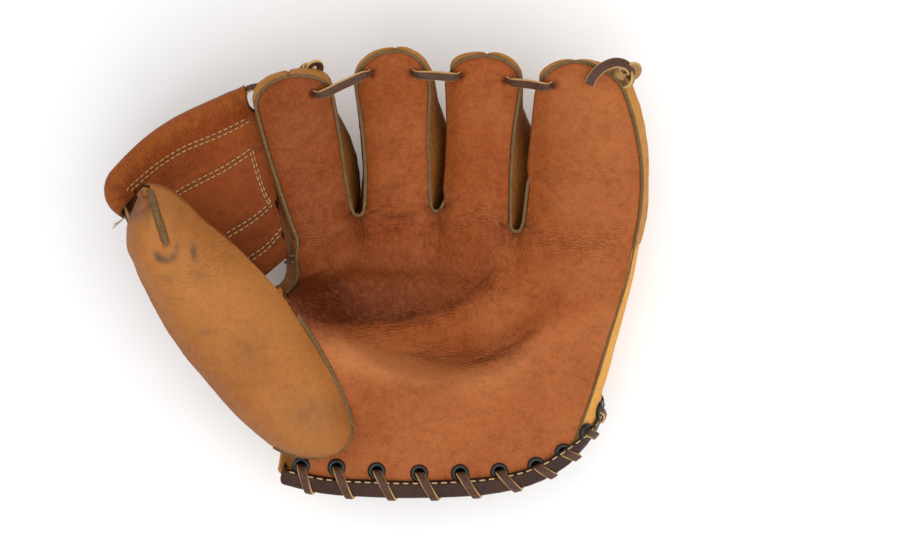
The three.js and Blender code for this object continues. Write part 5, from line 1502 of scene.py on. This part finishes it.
def lace_piece(name, node, path, ups, width, thickness, body, blend=None, scale=1.0):
    lace, pale = ribbon(path, ups, width, thickness, scale)
    make(name, lace, lace_leather, body, replaces=[node], blend=blend, wear=pale)


def heel_lace_path():
    """One lace that winds through the eyelets and round the binding: places and the way out of each loop."""
    places, radial = [], []
    top = LACE["top_share"]
    for k, start in enumerate(EYELET_PLACES):
        final = k + 1 == len(EYELET_PLACES)
        end = start + 2 if final else EYELET_PLACES[k + 1]
        turn = np.linspace(0.0 if k else -0.75, 1.35 * np.pi if final else 2 * np.pi, 60)
        turn = turn if final else turn[:-1]
        across, rise = (signed_power(way(turn), 0.6)[:, None] for way in (np.cos, np.sin))
        outer = (1 - across[:, 0]) / 2
        place = mix(start, end, np.where(turn < np.pi, top * outer, 1 - (1 - top) * outer))
        at, inward, normal = frame_at(place)
        inset = inset_at(place)[:, None]
        reach = (inset + BINDING["out"] + LACE["thickness"] / 2) / 2
        middle = at + inward * (inset - reach)
        places.append(middle + inward * (reach * across) + normal * (loop_height * rise))
        radial.append(unit(places[-1] - middle))
    return np.concatenate(places), np.concatenate(radial)


def heel_lace():
    path, out = heel_lace_path()
    runs = run_lengths(path)
    even = shares(620)
    up = read_at(even, runs / runs[-1], out)
    for _ in range(4):
        up[1:-1] = unit(up[:-2] + 2 * up[1:-1] + up[2:])
    dense = Spline(path, 3000).along(even)
    lace_piece("wrist_lace", "heel_lace", dense, up, LACE["width"], LACE["thickness"], "palm")


binding()
eyelets()
heel_lace()

# Finger lace with its knots

LACE_SINK = 5.6
LACE_BEND = [(1.5, 1.5), (-0.6, -0.7), (-4, -1.4)]  # at a hole: height over the leather and way to the side
LACE_CUT = 1.5  # thickness of the lace
INDEX_KNOT = (-28.8, 87.2, 72.0)
LITTLE_TAIL = [(108, 85.5, 83), (106, 88.6, 86.5), (101.1, 89.6, 88.6), (95.4, 87.3, 89.6),
               (91.6, 83.4, 89.4), (90.2, 80.4, 88.2)]


def through_hole(i, side):
    """Places of the lace at a hole, from the outside to the inside."""
    hole, n = lace_hole(i, side), fingers[i].normal(FINGER_LACE_SHARE)
    return [hole + n * height + fingers[i].across * (side * out) for height, out in LACE_BEND]


def finger_lace():
    route = []
    last = len(fingers) - 1
    for i, finger in enumerate(fingers):
        n = finger.normal(FINGER_LACE_SHARE)
        if i > 0:
            route += through_hole(i, -1)
        if 0 < i < last:
            route.append(finger.middle(FINGER_LACE_SHARE) - n * LACE_SINK)
        if i < last:
            route += through_hole(i, 1)[::-1]
            route.append(mix(lace_hole(i, 1), lace_hole(i + 1, -1), 0.5) + n * 1.2)
    dense = Spline(route, 3000).along(shares(420))
    near = np.min([np.linalg.norm(dense - hole, axis=1) for hole, side in LACE_HOLES], 0)
    up = fingers[1].normal(FINGER_LACE_SHARE)
    lace_piece("finger_thong", "finger_lace", dense, up, 4.2, LACE_CUT, "palm", FINGER_BLEND,
               1 - 0.3 * bell(near / 2.2))


def knot_path(centre, finger, size):
    """An overhand knot, drawn tight."""
    a = np.linspace(0, 2 * np.pi, 140)[:-3, None]
    x = (np.sin(a) + 2 * np.sin(2 * a)) / 3
    y = (np.cos(a) - 2 * np.cos(2 * a)) / 3
    z = -np.sin(3 * a) * 0.42
    return centre + size * (x * finger.across + y * finger.run + z * UP)


def index_knot():
    path = knot_path(vec(*INDEX_KNOT), index_finger, 4.4)
    up = parallel_up(path, UP)
    lace_piece("index_knot", "index_lace_knot", path, up, 3.2, LACE_CUT, "palm", FINGER_BLEND)


def little_knot():
    centre = little_finger.right(0.9) + little_finger.across * 4.6 + vec(0, 2.5, -1.0)
    path = knot_path(centre, little_finger, 5.2)
    knot, knot_pale = ribbon(path, parallel_up(path, UP), 3.4, LACE_CUT)
    tail_path = Spline([path[0], *LITTLE_TAIL]).along(shares(90))
    lean = 1 - shares(len(tail_path))[:, None]
    tail, tail_pale = ribbon(tail_path, unit(UP + lean * vec(0.6, 0.4, 0)), 4.4, LACE_CUT)
    make("little_knot_and_tail", joined([knot, tail]), lace_leather, "palm", replaces=["little_lace_knot"],
         blend=FINGER_BLEND, wear=np.concatenate([np.maximum(knot_pale, 0.5), tail_pale]))


finger_lace()
index_knot()
little_knot()

# Web

WEB = {"sheet": 4, "roll_radius": 5.4, "roll_bore": 3.4, "stand_off": -2.2, "arch": 6.2, "length": 86,
       "cut": 5.5}
WEB_CURL = {"from": 0.95, "radius": 8.5, "turn": 1.88, "stretch": 4.95, "bevel": 0.6}  # thumb end of the roll
WEB_TOP_LEFT = np.array([-118.4, 42.6, 60])
WEB_BOTTOM_LEFT = np.array([-66.0, -13.4, 40])
WEB_BOTTOM_RIGHT = (-40.5, 8.0)
WEB_TOP_RIGHT_DROP = 17
WEB_BOTTOM_RIGHT_DROP = 10
WEB_INDEX_SHARES = [0.06, 0.92]
WEB_LACE = {"thumb_share": 0.86, "thumb_angle": 2.2, "width": 3.0}
WEB_LACE_END = [(-57.2, 79.4, 66), (-52.3, 80.8, 67.5), (-46, 80.5, 66)]  # at the index finger
WEB_ROWS = 200
WEB_FACE_POINTS = 100  # points of the section on the side that shows
ROLL_POINTS = slice(62, 112)  # and on the roll
SEAM_GROOVES = [(8.8, 0.6), (23.6, 0.45), (50.2, 0.45), (64.4, 0.35)]  # distance below the roll's axis, depth
STITCH_ROWS = [  # lines on the web: share from the index finger, distance below the roll's axis
    [(0.965, 5.5), (0.9, 6.2), (0.75, 7.4), (0.575, 8.4), (0.41, 9.4), (0.255, 9.6), (0.065, 9.2)],
    [(0.8, 22.2), (0.765, 22.5), (0.585, 24.2), (0.4, 24.4), (0.245, 23.4), (0.13, 22.4)],
    [(0.13, 22.4), (0.125, 34.5), (0.105, 44.5), (0.07, 49.2)],
    [(0.66, 51.4), (0.405, 51), (0.235, 50), (0.05, 48.4)],
    [(0.62, 66), (0.32, 65), (0.015, 62.4)],
]
STITCH_APART = 0.95  # each row is double, this far to both sides
LOOSE_THREAD = [(-2, -4, -1), (-4.2, -6.6, 0.5)]  # from the thumb end of the roll, with two tips
LOOSE_TIPS = [(-8.4, -10.4, 0.5), (-7.8, -8.8, 1.0)]


def index_edge(s, drop):
    p = index_finger.left(s) - index_finger.across * (FINGER_BULGE + WEB["stand_off"])
    return p - drop * index_finger.normal(s)


web_bottom_right = vec(*WEB_BOTTOM_RIGHT, index_edge(WEB_INDEX_SHARES[0], WEB_BOTTOM_RIGHT_DROP)[2])
web_top_right = index_edge(WEB_INDEX_SHARES[1], WEB_TOP_RIGHT_DROP)
web_run = unit(WEB_TOP_LEFT - web_top_right)
WEB_BLEND = ("web", web_top_right, WEB_TOP_LEFT)


def web_frame(t):
    """Foot of the web, the way up it, the way out of its face and the height of its roll's axis."""
    t = np.asarray(t, float)[..., None]
    low = mix(web_bottom_right, WEB_BOTTOM_LEFT, t)
    high = mix(web_top_right, WEB_TOP_LEFT, t) + vec(0, WEB["arch"], 0) * np.sin(np.pi * t**1.5)
    up = unit(high - low)
    face = turned_to(unit(np.cross(up, web_run)), UP)
    return low, up, face, np.linalg.norm(high - low, axis=-1) - WEB["roll_radius"]


def curled(points, t, below):
    """Points of the web with the roll cut short at the index finger and turned down at the thumb."""
    low, up, face, axis = web_frame(WEB_CURL["from"])
    radius = WEB_CURL["radius"]
    pivot = low + up * (axis - radius)
    up = unit(up - web_run * np.dot(up, web_run))
    on_sheet = smooth(below, 6, 12)
    slide = np.maximum(0, t - WEB_CURL["from"]) * WEB["length"] * (1 - on_sheet)
    pull = np.maximum(0, t - 0.75) * 0.4 * WEB["length"] * on_sheet
    q = points - (slide + pull)[..., None] * web_run - pivot
    a, b = q @ web_run, q @ up
    rest = q - a[..., None] * web_run - b[..., None] * up
    bevel = WEB_CURL["bevel"] * smooth(t, 0.965, 1) * (rest @ face + WEB["roll_radius"])
    along = np.maximum(0, slide * WEB_CURL["stretch"] - bevel * (1 - on_sheet))
    angle = np.minimum(along / radius, WEB_CURL["turn"])
    tail = along - angle * radius
    ahead = (a + tail) * np.cos(angle) + b * np.sin(angle)
    above = b * np.cos(angle) - (a + tail) * np.sin(angle)
    cut = WEB["cut"] * (1 - smooth(t, 0, 0.2)) * (1 - smooth(below, 3, 14))
    return pivot + rest + (ahead + cut)[..., None] * web_run + above[..., None] * up


def web_outline(axis):
    """Section of the web: the sheet's face, the roll, the turned-down flap and the sheet's back."""
    half, r = WEB["sheet"] / 2, WEB["roll_radius"]
    face = np.stack([np.full(60, half), np.linspace(0, axis - 1.9 * r, 60)], -1)
    slope = Spline([(half, axis - 1.9 * r, 0), (half + 0.2, axis - 1.5 * r, 0), (half + 1.5, axis - r, 0),
                    (r * 0.96, axis - 0.4 * r, 0)])
    bend = slope.along(shares(14))[1:, :2]
    a = np.radians(np.linspace(-12, 205, 36))
    arc = np.stack([r * np.cos(a), axis + r * np.sin(a)], -1)
    flap = np.array([(-0.8, 1.1), (-0.7, 1.7), (-0.68, 2.4), (-0.5, 2.55), (-half / r, 2.6)])
    back = np.stack([np.full(16, -half), np.linspace(axis - 3.2 * r, 0, 16)], -1)
    return np.concatenate([face, bend, arc, flap * vec(r, -r) + vec(0, axis), back])


def web_gathers(t, below):
    between = smooth(below, 9, 12) * smooth(21 - below, 0, 3) * (0.4 + 0.6 * bell((t - 0.65) / 0.25))
    return 0.9 * bell((below - 1) / 6) + 0.9 * between + 0.5 * bell((below - 57) / 4)


def web_relief(t, below, p):
    """Quilted seams along the rows, and the fine gathers across them."""
    along = t * WEB["length"] + 1.6 * folds(p, 10)
    z = 0.1 * web_gathers(t, below) * ripples(along, 2.1) + 0.3 * folds(p, 16) * (below > 0)
    for seam, deep in SEAM_GROOVES:
        z = z - deep * bell((below - seam) / 2.0)
    cross_seam = bell((t - 0.12) * WEB["length"] / 2.0) * smooth(below, 20, 24) * smooth(50 - below, 0, 4)
    return z - 0.35 * cross_seam


def web_point(t, below, lift):
    """A place on the face of the web, lifted off the leather."""
    low, up, face, axis = web_frame(t)
    half, r = WEB["sheet"] / 2, WEB["roll_radius"]
    slope = np.interp(below, [0.4 * r, r, 1.5 * r, 1.9 * r], [0.96 * r - half, 1.5, 0.2, 0])
    p = low + up * (axis - below)[..., None] + face * (half + slope + lift)[..., None]
    return curled(p + face * web_relief(t, below, p)[..., None], t, below)


def web_bore(end, inset):
    """A ring in the bore of the roll, inside its end at the index finger (0) or the thumb (1)."""
    low, up, face, axis = web_frame(end)
    outline = web_outline(axis) - vec(0, axis)
    straight = np.where(outline[:, 0] > 0, -1.5, -1.65)
    angle = np.arctan2(outline[:, 1], outline[:, 0])
    angle = np.where(outline[:, 1] < -WEB["roll_radius"], straight, angle)
    ring = WEB["roll_bore"] * np.stack([np.cos(angle), np.sin(angle)], -1)
    p = low + ring[:, :1] * face + (axis + ring[:, 1:]) * up + web_run * inset * (1 - 2 * end)
    return curled(p, np.full(len(p), abs(end - inset / WEB["length"])), -ring[:, 1])


def web_panel():
    """The web itself; its rings are given back for the cut edges of its roll."""
    t = shares(WEB_ROWS + 1)
    low, up, face, axis = web_frame(t)
    outlines = np.array([web_outline(x) for x in axis])
    rings = low[:, None] + outlines[..., :1] * face[:, None] + outlines[..., 1:] * up[:, None]
    below = axis[:, None] - outlines[..., 1]
    share = np.broadcast_to(t[:, None], below.shape)
    front = np.arange(outlines.shape[1]) < WEB_FACE_POINTS
    rings = rings + (web_relief(share, below, rings) * front)[..., None] * face[:, None]
    rings = np.concatenate([[web_bore(0, 8), web_bore(0, 0.6)], curled(rings, share, below),
                            [web_bore(1, 0.5), web_bore(1, 7)]])
    grooves = sum(bell((below - seam) / 1.5) for seam, deep in SEAM_GROOVES)
    # the rings in the bore are shaded in full and the bore is capped: painted shade inside the roll
    shade = np.ones(rings.shape[:2])
    wear, crease, phase = (np.zeros(rings.shape[:2]) for _ in range(3))
    # painted shade in the quilted grooves; darker further down the face and on the back
    shade[2:-2] = np.where(front[None], 0.25 * grooves + 0.3 * smooth(below, 14, 60), 0.3)
    # painted highlight along the top of the roll
    wear[2:-2] = 0.5 * bell((below + 3) / 4) * front
    crease[2:-2] = web_gathers(share, below) * front
    phase[2:-2] = share * WEB["length"]
    tints = {"shade": shade, "wear": wear, "crease": crease, "phase": phase}
    make("web_leather_panel", ring_sweep(rings), web_leather, "fingers", replaces=["web_panel"],
         blend=WEB_BLEND, **{key: np.append(value, [0, 0]) for key, value in tints.items()})
    return rings


def web_stitches():
    parts = []
    for row in STITCH_ROWS:
        line = Spline([(a * WEB["length"], b, 0) for a, b in row]).along(shares(90))[:, :2]
        run = unit(np.gradient(line, axis=0))
        for side in (-STITCH_APART, STITCH_APART):
            at = line + side * np.stack([-run[:, 1], run[:, 0]], -1)
            share = np.clip(at[:, 0] / WEB["length"], 0, 1)
            parts += stitches(web_point(share, at[:, 1], 0.12), web_frame(share)[2], 2.8, 1.8, 0.25)
    end = web_bore(1, 0.0).mean(0)
    for tip in LOOSE_TIPS:
        strand = Spline(end + np.array([*LOOSE_THREAD, tip])).along(shares(16))
        parts.append(section_sweep(strand, UP, round_section(0.5, 0.5, 6)))
    make("web_stitches", joined(parts), thread, "fingers", blend=WEB_BLEND)


def web_cut_edges(rings):
    rims = []
    for ring, inner in ((rings[2], rings[1]), (rings[-3], rings[-2])):
        ring, inner = ring[ROLL_POINTS], inner[ROLL_POINTS]
        rims.append(section_sweep(mix(ring, inner, 0.45), ring - inner, round_section(0.9, 1.5, 10)))
    make("web_cut_edges", roughened(joined(rims), 0.12, 1.5, UP), welt_leather, "fingers", blend=WEB_BLEND)


def roll_axis(t):
    t = np.asarray(t, float)
    low, up, face, axis = web_frame(t)
    return curled(low + up * axis[..., None], t, 0 * t)


def web_lace():
    """Thong through the roll, into the thumb at one end and the index finger at the other."""
    s = WEB_LACE["thumb_share"]
    hole = thumb.back(s, WEB_LACE["thumb_angle"])
    out = unit(hole - thumb.middle(s) + thumb.depth(s) * 0.4 * thumb.normal(s))
    route = np.concatenate([[hole - out * 5, hole + out * 0.8], roll_axis([0.985, 0.97, 0.95]) - 1.4 * UP,
                            roll_axis([0.9, 0.75, 0.5, 0.25, 0.03]), WEB_LACE_END])
    dense = Spline(route, 2000).along(shares(240))
    lace_piece("web_thong", "web_lace", dense, parallel_up(dense, UP), WEB_LACE["width"], LACE_CUT, "fingers",
               WEB_BLEND)


panel_rings = web_panel()
web_stitches()
web_cut_edges(panel_rings)
web_lace()

# Strap with its snap

STRAP = {"width": 24, "thickness": 2.4, "height": 4.4, "root_height": 7.2, "seam": 0.8}
STRAP_SEWN_FROM = 0.16  # share of the strap's length from which its edges are stitched
STRAP_LINE = [(84, -46), (58, -57), (20, -62), (-18, -61), (-38, -59)]
SNAP = {"cap": 6.5, "cap_height": 1.7, "post": 1.9, "flange": 4.5, "rim": 0.9, "inset": 9}

root, *onward = STRAP_LINE
strap_line = Spline([(*root, STRAP["root_height"]), *[(x, y, STRAP["height"]) for x, y in onward]])
strap_top = STRAP["height"] + STRAP["thickness"] / 2
strap_bottom = STRAP["height"] - STRAP["thickness"] / 2
snap_centre = strap_line.along(1 - SNAP["inset"] / strap_line.length) * vec(1, 1, 0)


def strap():
    t, w = shares(101), np.linspace(-1, 1, 15)[None, :]
    at = strap_line.at(t)
    across = unit(np.cross(UP, unit(np.gradient(at, axis=0))))
    tongue = np.sqrt(np.maximum(0.12, 1 - smooth(t, 0.9, 1) ** 2))
    sideways = (tongue * STRAP["width"] / 2)[:, None] * across
    grid = at[:, None] - STRAP["thickness"] / 2 * UP + w[..., None] * sideways[:, None]
    relief = 0.1 * folds(grid, 12) - 0.25 * bell((np.abs(w) - STRAP["seam"]) / 0.06) - 0.1
    sheet_piece("strap_leather", grid, -UP, back_leather, "strap", thickness=STRAP["thickness"] - 0.2,
                relief=relief, replaces=["wrist_strap"], wear=0.4, shade=0.3 * np.abs(w) ** 10)
    parts = []
    for side in (-STRAP["seam"], STRAP["seam"]):
        row = at + side * sideways - (STRAP["thickness"] / 2 - 0.15) * UP
        row = row[t > STRAP_SEWN_FROM]
        parts += stitches(row, np.broadcast_to(-UP, row.shape), 3.0, 2.2, 0.3)
    make("strap_stitches", joined(parts), thread, "strap")


def snap_piece(name, node, profile, body):
    points, faces = ring_sweep(lathe(profile, 48))
    make(name, (points + snap_centre, faces), black_enamel, body, replaces=[node])


def snap():
    cap, post, flange, rim = (SNAP[key] for key in ("cap", "post", "flange", "rim"))
    seat = strap_bottom - SEAM_GAP
    dome = [(cap * np.sin(a), seat - 0.5 - (SNAP["cap_height"] - 0.5) * np.cos(a))
            for a in np.linspace(0.02, np.pi / 2, 12)]
    snap_piece("snap_cap_dome", "snap_cap",
               dome + [(cap, seat), (post, seat), (post, strap_top), (0.2, strap_top)], "strap")
    top, under, inside = strap_top + SEAM_GAP, EAR["height"] - 3 * SEAM_GAP, EAR["height"] + SHELL + SEAM_GAP
    socket = [(0.2, top), (flange - 0.3, top), (flange, top + 0.3), (flange, under), (post, under),
              (post, inside), (flange, inside), (flange - 0.4, inside + rim), (0.2, inside + rim)]
    snap_piece("snap_socket_ring", "snap_socket", socket, "palm")


strap()
snap()

# Camera straight above, at the photo's distance, with light and floor

CAMERA_PLACE = (30.9, -2.8, 1360.0)
FOCAL_PIXELS = 2990.0  # in a picture of this width
IMAGE_WIDTH = 900
SENSOR_MM = 36.0
LIGHTS = [("key", (-0.25, 0.3, 1.3), 5.5), ("fill", (0.45, -0.6, 1.0), 12.0)]  # place in metres and watts
LIGHT_SIZE = 1.6
WORLD_LIGHT = 0.7
FLOOR_REACH = 3.0
FLOOR_GREY = 0.92


def studio():
    scene = bpy.context.scene
    camera = bpy.data.cameras.new("camera")
    camera.sensor_width = SENSOR_MM
    camera.lens = FOCAL_PIXELS / IMAGE_WIDTH * SENSOR_MM
    scene.camera = add_object("camera", camera)
    scene.camera.location = placed(CAMERA_PLACE).tolist()
    for name, place, power in LIGHTS:
        lamp = bpy.data.lights.new(name, "AREA")
        lamp.size = LIGHT_SIZE
        lamp.energy = power
        obj = add_object(name, lamp)
        obj.location = place
        obj.rotation_euler = (-Vector(place)).to_track_quat("-Z", "Y").to_euler()
    world = bpy.data.worlds.new("studio")
    world.use_nodes = True
    background = world.node_tree.nodes["Background"]
    background.inputs["Color"].default_value = (1, 1, 1, 1)
    background.inputs["Strength"].default_value = WORLD_LIGHT
    scene.world = world
    scene.view_settings.view_transform = "Standard"
    mesh = bpy.data.meshes.new("floor")
    ends = [(-1, -1), (1, -1), (1, 1), (-1, 1)]
    mesh.from_pydata([(x * FLOOR_REACH, y * FLOOR_REACH, 0) for x, y in ends], [], [(0, 1, 2, 3)])
    n = Nodes("floor")
    n.set(Base_Color=(FLOOR_GREY, FLOOR_GREY, FLOOR_GREY, 1), Roughness=0.9, Specular_IOR_Level=0.1)
    mesh.materials.append(n.material)
    add_object("floor", mesh)


studio()
